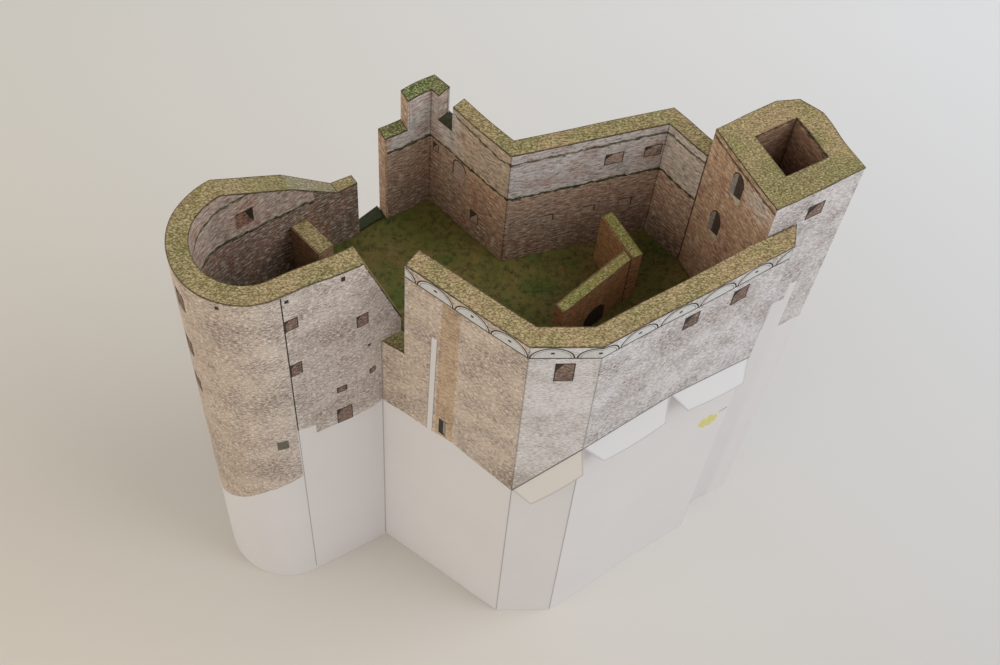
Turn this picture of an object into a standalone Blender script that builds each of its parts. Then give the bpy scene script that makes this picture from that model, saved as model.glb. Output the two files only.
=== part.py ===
"""Card model of a ruined castle keep.

The walls are folded card boxes: an outer skin that runs down to the table, an inner skin that
stands on the courtyard floor, and a printed cap glued on top. Metres, +Z up, the front towards -Y.
The origin is under the middle of the model, on the surface that it stands on.
"""

import math

import bmesh
import bpy
from mathutils import Matrix, Vector

# Card, glue and cutters; corners of a sheet closer than a share of its thickness are one
CARD = 0.0005
GLUE_GAP = 0.0003
OVERRUN = 0.002
WELD_SHARE = 0.002

# The courtyard floor's level above the table, and how far the wall tops lie above it
FLOOR_LEVEL = 0.0983
WALL_HEIGHT = 0.0380
CROSS_WALL_HEIGHT = 0.0158
LOW_WALL_HEIGHT = 0.0168
SILL_HEIGHT = 0.0045
SLOPE_FOOT_RISE = 0.0059
TOWER_RISE = 0.0089

# How far the broken places lie below the wall top
NOTCH_DROP = 0.0076
FIN_DROP = 0.0093
ROUND_KNEE_DROP = 0.0101
ROUND_END_DROP = 0.0191

# Levels that follow from them
WALL_TOP = FLOOR_LEVEL + WALL_HEIGHT
TOWER_TOP_LEVEL = WALL_TOP + TOWER_RISE
SILL_LEVEL = FLOOR_LEVEL + SILL_HEIGHT
SLOPE_FOOT_LEVEL = SILL_LEVEL + SLOPE_FOOT_RISE
NOTCH_LEVEL = WALL_TOP - NOTCH_DROP
FIN_STEP_LEVEL = WALL_TOP - FIN_DROP
ROUND_KNEE_LEVEL = WALL_TOP - ROUND_KNEE_DROP
ROUND_END_LEVEL = WALL_TOP - ROUND_END_DROP
CROSS_WALL_TOP = FLOOR_LEVEL + CROSS_WALL_HEIGHT
LOW_WALL_TOP = FLOOR_LEVEL + LOW_WALL_HEIGHT

# Thickness of the folded walls
FRONT_THICK = 0.0044
BACK_THICK = 0.0037
BACK_LEFT_THICK = 0.0032
ROUND_END_THICK = 0.0023
CROSS_THICK = 0.0038
LOW_THICK = 0.0026

# Outer faces of the front, seen from above: length of each face and its bearing in degrees
FRONT_MIDDLE_LENGTH = 0.0138
FRONT_LEFT_LENGTH = 0.0349
FRONT_LEFT_BEARING = 142.6
FRONT_RIGHT_LENGTH = 0.0445
FRONT_RIGHT_BEARING = 30.8
SILL_LENGTH = 0.0055
FLAT_WALL_LENGTH = 0.0212
FLAT_WALL_BEARING = 207.9
FLAT_TOP_LENGTH = 0.0172
SLOPE_OVERHANG = 0.0043

# Round tower: a half ring between the flat wall and its straight back wall
ROUND_RADIUS = 0.0153
ROUND_SEGMENTS = 6
ROUND_STEPS = 5
ROUND_BACK_LENGTH = 0.0313
ROUND_BACK_BEARING = 32.9
ROUND_KNEE = 0.0160
ROUND_STEP = 0.0265
CROSS_WALL_START = 0.0152
CROSS_WALL_LENGTH = 0.0092
CROSS_WALL_BEARING = -48.9

# Square tower, measured from its front left corner
TOWER_BEARING = 27.5
TOWER_START = 0.0411
TOWER_WIDTH = 0.0208
TOWER_DEPTH = 0.0217
TOWER_RIGHT_DEPTH = 0.0149
TOWER_BACK_WIDTH = 0.0147
TOWER_CORNER_ACROSS = 0.0190
TOWER_CORNER_DEPTH = 0.0199
TOWER_RETURN = 0.0072
SHAFT_LEFT = 0.0060
SHAFT_FRONT = 0.00565
SHAFT_WIDTH = 0.0100
SHAFT_DEPTH = 0.01065

# Open gap beside the round tower, and the inner faces of the back walls, which close the plan
GAP_LENGTH = 0.0073
GAP_BEARING = 35.9
BACK_RIGHT_BEARING = 131.8
BACK_MIDDLE_BEARING = 194.2
BACK_LEFT_LENGTH = 0.0224
BACK_LEFT_BEARING = 134.1
FIN_LENGTH = 0.0109
FIN_BEARING = 206.6
FIN_STEP = 0.0053
FIN_STUB = 0.0021
NOTCH_LENGTH = 0.0040

# Low walls in the courtyard, placed from the square tower's left face
LOW_CORNER_CLEAR = 0.0137
LOW_CORNER_BACK = 0.0181
LOW_SHORT_LENGTH = 0.0122
LOW_LONG_LENGTH = 0.0195
LOW_LONG_BEARING = 221.2

# Glue tabs along the lower edge of the printed front, and how far their folds lie below the floor
TAB_DEPTH = 0.0050
TAB_LEFT_TAPER = 0.0026
TAB_RIGHT_TAPER = 0.0037
TAB_LIFT = 40.0
TAB_LEFT_DROP = 0.0228
TAB_FOLD_DROP = 0.0029
TAB_MIDDLE_DROP = 0.0016
TAB_RIGHT_DROP = 0.0044

# Colour, roughness and metallic value of each finish
FINISHES = {
    "printed_card": ((0.62, 0.57, 0.54, 1.0), 0.75, 0.0),
    "mossy_card": ((0.36, 0.31, 0.14, 1.0), 0.8, 0.0),
    "inner_card": ((0.27, 0.20, 0.15, 1.0), 0.8, 0.0),
    "grass_card": ((0.09, 0.09, 0.02, 1.0), 0.85, 0.0),
    "white_card": ((0.78, 0.77, 0.78, 1.0), 0.7, 0.0),
}


def clear_scene():
    """Removes whatever the file holds at the start."""
    for obj in list(bpy.data.objects):
        bpy.data.objects.remove(obj)


def new_collection(name):
    """Makes a collection and hangs it under the scene."""
    collection = bpy.data.collections.new(name)
    bpy.context.scene.collection.children.link(collection)
    return collection


def new_finish(name):
    """Makes one Principled material from the table of finishes."""
    colour, roughness, metallic = FINISHES[name]
    material = bpy.data.materials.new(name)
    material.use_nodes = True
    shader = material.node_tree.nodes["Principled BSDF"]
    shader.inputs["Base Color"].default_value = colour
    shader.inputs["Roughness"].default_value = roughness
    shader.inputs["Metallic"].default_value = metallic
    material.diffuse_color = colour
    return material


def step(length, bearing):
    """A move on the plan: a length along a bearing in degrees, from +X round to +Y."""
    angle = math.radians(bearing)
    return Vector((length * math.cos(angle), length * math.sin(angle)))


def meet(point_a, dir_a, point_b, dir_b):
    """The plan point where two lines cross."""
    across = dir_a.x * dir_b.y - dir_a.y * dir_b.x
    gap = point_b - point_a
    return point_a + dir_a * ((gap.x * dir_b.y - gap.y * dir_b.x) / across)


def inset(outline, distance):
    """Moves every side of a counter-clockwise outline inwards by a distance."""
    sides = []
    for index, point in enumerate(outline):
        along = (outline[(index + 1) % len(outline)] - point).normalized()
        sides.append((point + Vector((-along.y, along.x)) * distance, along))
    return [meet(*sides[index - 1], *side) for index, side in enumerate(sides)]


def flat_mesh(outline, thickness, holes=()):
    """Fills a 2D curve from the outline, gives it a thickness and returns it as a closed mesh."""
    curve = bpy.data.curves.new("outline", "CURVE")
    curve.dimensions = "2D"
    curve.fill_mode = "BOTH"
    curve.extrude = thickness / 2
    for points in (outline, *holes):
        spline = curve.splines.new("POLY")
        spline.points.add(len(points) - 1)
        spline.use_cyclic_u = True
        for target, point in zip(spline.points, points):
            target.co = (point[0], point[1], 0, 1)
    guide = bpy.data.objects.new("outline", curve)
    bpy.context.scene.collection.objects.link(guide)
    evaluated = guide.evaluated_get(bpy.context.evaluated_depsgraph_get())
    mesh = bpy.data.meshes.new_from_object(evaluated)
    bpy.data.objects.remove(guide)
    bpy.data.curves.remove(curve)
    weld = bmesh.new()
    weld.from_mesh(mesh)
    bmesh.ops.remove_doubles(weld, verts=weld.verts, dist=CARD * WELD_SHARE)
    bmesh.ops.recalc_face_normals(weld, faces=weld.faces)
    weld.to_mesh(mesh)
    weld.free()
    return mesh


def place(name, mesh, matrix, finish):
    """Puts a mesh into the model as a named part."""
    mesh.name = name
    part = bpy.data.objects.new(name, mesh)
    part.matrix_world = matrix
    part.data.materials.append(materials[finish])
    parts.objects.link(part)
    return part


def prism(name, outline, low, high, finish, holes=()):
    """A part with a plan outline between two levels."""
    mesh = flat_mesh(outline, high - low, holes)
    return place(name, mesh, Matrix.Translation((0, 0, (low + high) / 2)), finish)


def elevation_frame(start, bearing, depth):
    """The frame of a wall face: X along the wall, Y up, Z out of the outer side at a depth."""
    along = step(1, bearing).to_3d()
    out = Vector((along.y, -along.x, 0))
    frame = Matrix((along, Vector((0, 0, 1)), out)).transposed().to_4x4()
    frame.translation = start.to_3d() - out * depth
    return frame


def panel(name, outline, start, bearing, depth, thickness, finish):
    """An upright part drawn in elevation, whose outer side lies a depth behind the start point."""
    mesh = flat_mesh(outline, thickness)
    return place(name, mesh, elevation_frame(start, bearing, depth + thickness / 2), finish)


def cut(part, cutter):
    """Takes one prism out of a part."""
    parts.objects.unlink(cutter)
    cutters.objects.link(cutter)
    cutter.name = "cutter_" + cutter.name
    cutter.hide_render = True
    cutter.display_type = "WIRE"
    boolean = part.modifiers.new("cut", "BOOLEAN")
    boolean.operation = "DIFFERENCE"
    boolean.solver = "EXACT"
    boolean.object = cutter


class WallLine:
    """A straight wall on the plan, between an outer and an inner face."""

    def __init__(self, outer_start, outer_end, inner_end, inner_start):
        self.start = outer_start
        self.length = (outer_end - outer_start).length
        self.along = (outer_end - outer_start).normalized()
        self.inward = Vector((-self.along.y, self.along.x))
        self.thick = (inner_start - outer_start).dot(self.inward)
        self.start_lean = (inner_start - outer_start).dot(self.along) / self.thick
        self.end_lean = (inner_end - outer_end).dot(self.along) / self.thick

    def at(self, along, depth):
        """The plan point a distance along the wall and a depth behind its outer face."""
        return self.start + self.along * along + self.inward * depth

    def from_start(self, depth, extra=0.0):
        """A point on the wall's first end."""
        return self.at(self.start_lean * depth + extra, depth)

    def from_end(self, depth, extra=0.0):
        """A point on the wall's last end."""
        return self.at(self.length + self.end_lean * depth + extra, depth)

    def slice(self, near, far, low_depth, high_depth, margin=0.0):
        """The outline between two places along the wall; None means the wall's own end."""
        outline = []
        for depth in (low_depth, high_depth):
            if near is None:
                first = self.from_start(depth, margin)
            else:
                first = self.at(near, depth)
            if far is None:
                last = self.from_end(depth, -margin)
            else:
                last = self.at(far, depth)
            outline.append((first, last))
        (outer_first, outer_last), (inner_first, inner_last) = outline
        return [outer_first, outer_last, inner_last, inner_first]


def folded_wall(name, line, bays, finish, closed=(False, False)):
    """A hollow card wall. Each bay is a place where it ends along the wall, and its own top.

    The skins are one card thick. Below the floor only the outer skin goes on down to the table.
    """
    body_top = max(top for _, top in bays) - CARD - GLUE_GAP
    half_gap = GLUE_GAP / 2
    body = prism(name, line.slice(None, None, 0, line.thick, half_gap), 0, body_top, finish)
    near = None
    for index, (far, top) in enumerate(bays):
        roof = top - CARD - GLUE_GAP
        last = index == len(bays) - 1
        if roof < body_top:
            outline = line.slice(near, None if last else far, -OVERRUN, line.thick + OVERRUN, -OVERRUN)
            cut(body, prism(name + "_above", outline, roof, body_top + OVERRUN, finish))
        first_open = near is None and not closed[0]
        last_open = last and not closed[1]
        hollow = line.slice(
            None if near is None else near + CARD,
            None if last else far - CARD,
            CARD,
            line.thick - CARD,
            CARD + half_gap,
        )
        if first_open:
            hollow[0] = line.from_start(CARD, -OVERRUN)
            hollow[3] = line.from_start(line.thick - CARD, -OVERRUN)
        if last_open:
            hollow[1] = line.from_end(CARD, OVERRUN)
            hollow[2] = line.from_end(line.thick - CARD, OVERRUN)
        cut(body, prism(name + "_hollow", hollow, FLOOR_LEVEL, roof - CARD, finish))
        near = far
    below = line.slice(None, None, CARD, line.thick + OVERRUN, -OVERRUN)
    cut(body, prism(name + "_below", below, -OVERRUN, FLOOR_LEVEL + GLUE_GAP, finish))
    return body


def ring_outline(centre, outer, inner, first, last, steps):
    """A part of a ring: the outer arc from first to last bearing, then back on the inner one."""
    sweep = [first + (last - first) * index / steps for index in range(steps + 1)]
    arc = [centre + step(outer, bearing) for bearing in sweep]
    return arc + [centre + step(inner, bearing) for bearing in reversed(sweep)]


def plan_corners():
    """Works out the named corners of the plan, starting at the front left fold."""
    spot = {}
    spot["left_fold"] = Vector((0, 0))
    spot["right_fold"] = spot["left_fold"] + step(FRONT_MIDDLE_LENGTH, 0)
    spot["right_end"] = spot["right_fold"] + step(FRONT_RIGHT_LENGTH, FRONT_RIGHT_BEARING)
    spot["corner"] = spot["left_fold"] + step(FRONT_LEFT_LENGTH, FRONT_LEFT_BEARING)
    spot["seam"] = spot["corner"] + step(FLAT_WALL_LENGTH, FLAT_WALL_BEARING)
    spot["round_centre"] = spot["seam"] + step(ROUND_RADIUS, FLAT_WALL_BEARING - 90)
    outwards = ROUND_BACK_BEARING + 90
    spot["round_back"] = spot["round_centre"] + step(ROUND_RADIUS, outwards)
    spot["round_knee"] = spot["round_back"] + step(ROUND_KNEE, ROUND_BACK_BEARING)
    run = step(ROUND_BACK_LENGTH, ROUND_BACK_BEARING)
    spot["round_inner_end"] = spot["round_back"] + run - step(FRONT_THICK, outwards)
    spot["round_end"] = spot["round_inner_end"] + step(ROUND_END_THICK, outwards)
    spot["tower"] = (
        spot["right_fold"]
        + step(TOWER_START, FRONT_RIGHT_BEARING)
        + step(FRONT_THICK, FRONT_RIGHT_BEARING + 90)
    )
    return spot


def tower_corners(start):
    """The six outer corners of the square tower, counter-clockwise from its front left one."""
    places = (
        (0, 0),
        (TOWER_WIDTH, 0),
        (TOWER_WIDTH, TOWER_RIGHT_DEPTH),
        (TOWER_CORNER_ACROSS, TOWER_CORNER_DEPTH),
        (TOWER_BACK_WIDTH, TOWER_DEPTH),
        (0, TOWER_DEPTH),
    )
    along = step(1, TOWER_BEARING)
    back = step(1, TOWER_BEARING + 90)
    return [start + along * across + back * depth for across, depth in places]


def back_corners(tower, round_inner_end):
    """The inner and the outer corners of the back walls, from the square tower to the free end.

    The free end keeps the open gap to the round tower, and the middle and right walls are as long
    as that takes.
    """
    fin_end = round_inner_end + step(GAP_LENGTH, GAP_BEARING)
    fin_fold = fin_end - step(FIN_LENGTH, FIN_BEARING)
    left_fold = fin_fold - step(BACK_LEFT_LENGTH, BACK_LEFT_BEARING)
    right_line = (tower[5], step(1, BACK_RIGHT_BEARING))
    right_fold = meet(*right_line, left_fold, step(1, BACK_MIDDLE_BEARING))
    tower_back = (tower[5] + step(GLUE_GAP, TOWER_BEARING + 90), step(1, TOWER_BEARING))
    inner = [meet(*right_line, *tower_back), right_fold, left_fold, fin_fold, fin_end]
    walls = (
        (BACK_RIGHT_BEARING, BACK_THICK),
        (BACK_MIDDLE_BEARING, BACK_THICK),
        (BACK_LEFT_BEARING, BACK_LEFT_THICK),
        (FIN_BEARING, BACK_LEFT_THICK),
    )
    faces = [tower_back]
    for point, (bearing, thick) in zip(inner, walls):
        faces.append((point + step(thick, bearing - 90), step(1, bearing)))
    outer = [meet(*face, *after) for face, after in zip(faces, faces[1:])]
    outer.append(fin_end + step(BACK_LEFT_THICK, FIN_BEARING - 90))
    return inner, outer


def centre_of(places):
    """The middle of the rectangle around some plan points."""
    low_x = min(point.x for point in places)
    high_x = max(point.x for point in places)
    low_y = min(point.y for point in places)
    high_y = max(point.y for point in places)
    return Vector(((low_x + high_x) / 2, (low_y + high_y) / 2))


def inner_corner(corner, bearing_before, bearing_after):
    """The inner face's corner behind an outer one, for faces that run counter-clockwise."""
    before = corner + step(FRONT_THICK, bearing_before + 90)
    after = corner + step(FRONT_THICK, bearing_after + 90)
    return meet(before, step(1, bearing_before), after, step(1, bearing_after))


def tower_point(across, depth):
    """A plan point in the square tower's own frame."""
    return spots["tower"] + step(across, TOWER_BEARING) + step(depth, TOWER_BEARING + 90)


clear_scene()
parts = new_collection("castle_keep_card_model")
cutters = new_collection("cutters")
materials = {name: new_finish(name) for name in FINISHES}

# Plan of the whole model, moved so that its middle is over the origin
spots = plan_corners()
tower_outline = tower_corners(spots["tower"])
back_inner, back_outer = back_corners(tower_outline, spots["round_inner_end"])
tab_reach = GLUE_GAP + TAB_DEPTH * math.sin(math.radians(TAB_LIFT)) + CARD
round_left = spots["round_centre"] + step(ROUND_RADIUS, 180)
tab_front = spots["left_fold"] + step(tab_reach, -90)
middle = centre_of([*spots.values(), *tower_outline, *back_outer, round_left, tab_front])
spots = {name: point - middle for name, point in spots.items()}
tower_outline = [point - middle for point in tower_outline]
back_inner = [point - middle for point in back_inner]
back_outer = [point - middle for point in back_outer]

# Bearings of the front's outer faces from left to right, and the inner corners behind its folds
flat_face = FLAT_WALL_BEARING - 180
left_face = FRONT_LEFT_BEARING - 180
corner_inner = inner_corner(spots["corner"], flat_face, left_face)
left_inner = inner_corner(spots["left_fold"], left_face, 0)
right_inner = inner_corner(spots["right_fold"], 0, FRONT_RIGHT_BEARING)


def build_front():
    """The three front walls, with the broken-down sill at their left end."""
    left = WallLine(spots["corner"], spots["left_fold"], left_inner, corner_inner)
    folded_wall(
        "front_left_wall",
        left,
        [(SILL_LENGTH, SILL_LEVEL), (FRONT_LEFT_LENGTH, WALL_TOP)],
        "printed_card",
        closed=(True, False),
    )
    middle_line = WallLine(spots["left_fold"], spots["right_fold"], right_inner, left_inner)
    folded_wall(
        "front_middle_wall", middle_line, [(FRONT_MIDDLE_LENGTH, WALL_TOP)], "printed_card"
    )
    sill = left.slice(None, SILL_LENGTH - GLUE_GAP, 0, FRONT_THICK, GLUE_GAP)
    prism("sill_cap", sill, SILL_LEVEL - CARD, SILL_LEVEL, "mossy_card")
    build_front_right()
    end = front_right_end()
    cap = [
        left.at(SILL_LENGTH, 0),
        spots["left_fold"],
        spots["right_fold"],
        *end,
        right_inner,
        left_inner,
        left.at(SILL_LENGTH, FRONT_THICK),
    ]
    prism("front_wall_cap", cap, WALL_TOP - CARD, WALL_TOP, "mossy_card")


def front_right_end():
    """The free end of the front right wall, which wraps the square tower's front left corner."""
    foot = tower_point(TOWER_RETURN, -GLUE_GAP)
    corner = tower_point(-GLUE_GAP, -GLUE_GAP)
    inner_line = (right_inner, step(1, FRONT_RIGHT_BEARING))
    side = (corner, step(1, TOWER_BEARING))
    return [spots["right_end"], foot, meet(*inner_line, *side)]


def build_front_right():
    """The front right wall: its end folds back onto the square tower."""
    end, foot, notch = front_right_end()
    half_gap = step(GLUE_GAP / 2, FRONT_RIGHT_BEARING)
    outline = [spots["right_fold"] + half_gap, end, foot, notch, right_inner + half_gap]
    roof = WALL_TOP - CARD - GLUE_GAP
    body = prism("front_right_wall", outline, 0, roof, "printed_card")
    hollow = inset(outline, CARD)
    hollow[0] = hollow[0] - step(CARD + OVERRUN, FRONT_RIGHT_BEARING)
    hollow[4] = hollow[4] - step(CARD + OVERRUN, FRONT_RIGHT_BEARING)
    cut(body, prism("front_right_hollow", hollow, FLOOR_LEVEL, roof - CARD, "printed_card"))
    behind = step(FRONT_THICK + OVERRUN, FRONT_RIGHT_BEARING + 90)
    below = [hollow[0], hollow[1], hollow[2], hollow[2] + behind, hollow[0] + behind]
    cut(
        body,
        prism("front_right_below", below, -OVERRUN, FLOOR_LEVEL + GLUE_GAP, "printed_card"),
    )


def build_flat_wall():
    """The straight front of the round tower, broken off in a slope above the sill."""
    roof = WALL_TOP - CARD - GLUE_GAP
    foot = SLOPE_FOOT_LEVEL - CARD - GLUE_GAP
    reach = FLAT_WALL_LENGTH + SLOPE_OVERHANG
    sill = SILL_LEVEL + GLUE_GAP
    end = FLAT_WALL_LENGTH - GLUE_GAP / 2
    outline = [
        (GLUE_GAP / 2, 0),
        (end, 0),
        (end, sill),
        (reach, sill),
        (reach, foot),
        (FLAT_TOP_LENGTH, roof),
        (GLUE_GAP / 2, roof),
    ]
    body = panel("flat_wall", outline, spots["seam"], flat_face, 0, FRONT_THICK, "printed_card")
    hollow = [
        (-OVERRUN, FLOOR_LEVEL),
        (end - CARD, FLOOR_LEVEL),
        (end - CARD, sill + CARD),
        (reach - CARD, sill + CARD),
        (reach - CARD, foot - CARD),
        (FLAT_TOP_LENGTH - CARD, roof - CARD),
        (-OVERRUN, roof - CARD),
    ]
    inner = FRONT_THICK - 2 * CARD
    cut(body, panel("flat_hollow", hollow, spots["seam"], flat_face, CARD, inner, "printed_card"))
    under = [
        (-OVERRUN, -OVERRUN),
        (end + OVERRUN, -OVERRUN),
        (end + OVERRUN, FLOOR_LEVEL + GLUE_GAP),
        (-OVERRUN, FLOOR_LEVEL + GLUE_GAP),
    ]
    cut(body, panel("flat_below", under, spots["seam"], flat_face, CARD, FRONT_THICK, "printed_card"))
    slope = [
        (FLAT_TOP_LENGTH + GLUE_GAP, WALL_TOP),
        (FLAT_TOP_LENGTH + GLUE_GAP, roof + GLUE_GAP),
        (reach + GLUE_GAP, foot),
        (reach + GLUE_GAP, sill),
        (reach + GLUE_GAP + CARD, sill),
        (reach + GLUE_GAP + CARD, SLOPE_FOOT_LEVEL),
    ]
    panel("slope_cap", slope, spots["seam"], flat_face, 0, FRONT_THICK, "mossy_card")


def build_round_tower():
    """The half ring of the round tower, in segments, and its broken back wall."""
    centre = spots["round_centre"]
    first = FLAT_WALL_BEARING - 90 - 180
    last = ROUND_BACK_BEARING + 90 - 360
    roof = WALL_TOP - CARD - GLUE_GAP
    inner_radius = ROUND_RADIUS - FRONT_THICK
    half_gap = math.degrees(GLUE_GAP / 2 / ROUND_RADIUS)
    run_over = math.degrees(OVERRUN / ROUND_RADIUS)
    sweep = (last - first) / ROUND_SEGMENTS
    for index in range(ROUND_SEGMENTS):
        start = first + sweep * index - half_gap
        end = first + sweep * (index + 1) + half_gap
        name = f"round_wall_{index + 1}"
        ring = ring_outline(centre, ROUND_RADIUS, inner_radius, start, end, ROUND_STEPS)
        body = prism(name, ring, 0, roof, "printed_card")
        skin = ROUND_RADIUS - CARD
        wide = (start + run_over, end - run_over, ROUND_STEPS)
        hollow = ring_outline(centre, skin, inner_radius + CARD, *wide)
        cut(body, prism(name + "_hollow", hollow, FLOOR_LEVEL, roof - CARD, "printed_card"))
        below = ring_outline(centre, skin, inner_radius - OVERRUN, *wide)
        under = prism(name + "_below", below, -OVERRUN, FLOOR_LEVEL + GLUE_GAP, "printed_card")
        cut(body, under)
    steps = ROUND_SEGMENTS * ROUND_STEPS
    ring = ring_outline(centre, ROUND_RADIUS, inner_radius, first, last, steps)
    flat_end = step(FLAT_TOP_LENGTH, flat_face)
    outer_end = spots["seam"] + flat_end
    inner_end = outer_end + step(FRONT_THICK, flat_face + 90)
    prism("round_tower_cap", ring + [inner_end, outer_end], WALL_TOP - CARD, WALL_TOP, "mossy_card")
    build_round_back(roof)


def narrow_round_end(part, inward):
    """Cuts a part back to the narrowed end of the round tower's back wall, less a distance."""
    out = step(1, ROUND_BACK_BEARING + 90)
    knee = spots["round_knee"] - out * inward
    end = spots["round_end"] - out * inward
    beyond = end + (end - knee).normalized() * 2 * OVERRUN
    outline = [knee, beyond, beyond + out * FRONT_THICK, knee + out * FRONT_THICK]
    top = WALL_TOP + OVERRUN
    cut(part, prism(part.name + "_end", outline, -2 * OVERRUN, top, "printed_card"))


def build_round_back(roof):
    """The straight back wall of the round tower: its top falls in two slopes, its end narrows."""
    bearing = ROUND_BACK_BEARING + 180
    length = ROUND_BACK_LENGTH
    start = spots["round_back"] + step(length, ROUND_BACK_BEARING)
    knee = length - ROUND_KNEE
    ledge = length - ROUND_STEP
    lowered = CARD + GLUE_GAP
    top = [
        (length - GLUE_GAP / 2, roof),
        (knee, ROUND_KNEE_LEVEL - lowered),
        (ledge, ROUND_END_LEVEL - lowered),
        (0, ROUND_END_LEVEL - lowered),
    ]
    outline = [(0, 0), (length - GLUE_GAP / 2, 0), *top]
    body = panel("round_back_wall", outline, start, bearing, 0, FRONT_THICK, "printed_card")
    narrow_round_end(body, 0)
    under_top = lowered + 2 * CARD
    hollow = [
        (CARD, FLOOR_LEVEL),
        (length + OVERRUN, FLOOR_LEVEL),
        (length + OVERRUN, roof - 2 * CARD),
        (length, roof - 2 * CARD),
        (knee, ROUND_KNEE_LEVEL - under_top),
        (ledge, ROUND_END_LEVEL - under_top),
        (CARD, ROUND_END_LEVEL - under_top),
    ]
    inner = FRONT_THICK - 2 * CARD
    inside = panel("round_back_hollow", hollow, start, bearing, CARD, inner, "printed_card")
    narrow_round_end(inside, CARD)
    cut(body, inside)
    low = [
        (-OVERRUN, -OVERRUN),
        (length + OVERRUN, -OVERRUN),
        (length + OVERRUN, FLOOR_LEVEL + GLUE_GAP),
        (-OVERRUN, FLOOR_LEVEL + GLUE_GAP),
    ]
    below = panel("round_back_below", low, start, bearing, CARD, FRONT_THICK, "printed_card")
    narrow_round_end(below, CARD)
    cut(body, below)
    upper = [
        (0, ROUND_END_LEVEL),
        (ledge, ROUND_END_LEVEL),
        (knee, ROUND_KNEE_LEVEL),
        (length - GLUE_GAP, WALL_TOP),
    ]
    lower = [(along, level - CARD) for along, level in reversed(upper)]
    cap = panel("round_back_cap", upper + lower, start, bearing, 0, FRONT_THICK, "mossy_card")
    narrow_round_end(cap, 0)


def build_back_walls():
    """The back walls from the square tower to the free fin, with the notch beside the fin."""
    lines = [
        WallLine(back_outer[index], back_outer[index + 1], back_inner[index + 1], back_inner[index])
        for index in range(4)
    ]
    right, long, left, fin = lines
    folded_wall("back_right_wall", right, [(right.length, WALL_TOP)], "printed_card")
    folded_wall("back_middle_wall", long, [(long.length, WALL_TOP)], "printed_card")
    stub = left.length + left.end_lean * left.thick - FIN_STUB
    notch = stub - NOTCH_LENGTH
    folded_wall(
        "back_left_wall",
        left,
        [(notch, WALL_TOP), (stub, NOTCH_LEVEL), (left.length, WALL_TOP)],
        "printed_card",
    )
    fin_low = fin.length - FIN_STEP
    folded_wall(
        "fin_wall",
        fin,
        [(fin_low, WALL_TOP), (fin.length, FIN_STEP_LEVEL)],
        "printed_card",
        closed=(False, True),
    )
    cap = [
        *back_outer[:3],
        left.at(notch, 0),
        left.at(notch, BACK_LEFT_THICK),
        back_inner[2],
        back_inner[1],
        back_inner[0],
    ]
    prism("back_wall_cap", cap, WALL_TOP - CARD, WALL_TOP, "mossy_card")
    notch_plan = left.slice(notch + GLUE_GAP, stub - GLUE_GAP, 0, BACK_LEFT_THICK)
    prism("notch_cap", notch_plan, NOTCH_LEVEL - CARD, NOTCH_LEVEL, "mossy_card")
    fin_top = [
        left.at(stub, 0),
        back_outer[3],
        fin.at(fin_low, 0),
        fin.at(fin_low, BACK_LEFT_THICK),
        back_inner[3],
        left.at(stub, BACK_LEFT_THICK),
    ]
    prism("fin_top_cap", fin_top, WALL_TOP - CARD, WALL_TOP, "mossy_card")
    fin_plan = fin.slice(fin_low + GLUE_GAP, None, 0, BACK_LEFT_THICK, GLUE_GAP / 2)
    prism("fin_step_cap", fin_plan, FIN_STEP_LEVEL - CARD, FIN_STEP_LEVEL, "mossy_card")


def build_threshold():
    """The outer skin under the open gap beside the fin, and the cap across the gap."""
    start = back_outer[4]
    run = spots["round_end"] - start
    bearing = math.degrees(math.atan2(run.y, run.x))
    outline = [
        (GLUE_GAP, 0),
        (run.length - GLUE_GAP, 0),
        (run.length - GLUE_GAP, FLOOR_LEVEL),
        (GLUE_GAP, FLOOR_LEVEL),
    ]
    panel("threshold_wall", outline, start, bearing, 0, CARD, "printed_card")
    near = back_inner[4]
    far = spots["round_inner_end"]
    inner_gap = (far - near).normalized() * GLUE_GAP
    outer_gap = run.normalized() * GLUE_GAP
    cap = [near + inner_gap, start + outer_gap, spots["round_end"] - outer_gap, far - inner_gap]
    low = FLOOR_LEVEL + GLUE_GAP
    prism("threshold_cap", cap, low, low + CARD, "grass_card")


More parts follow.
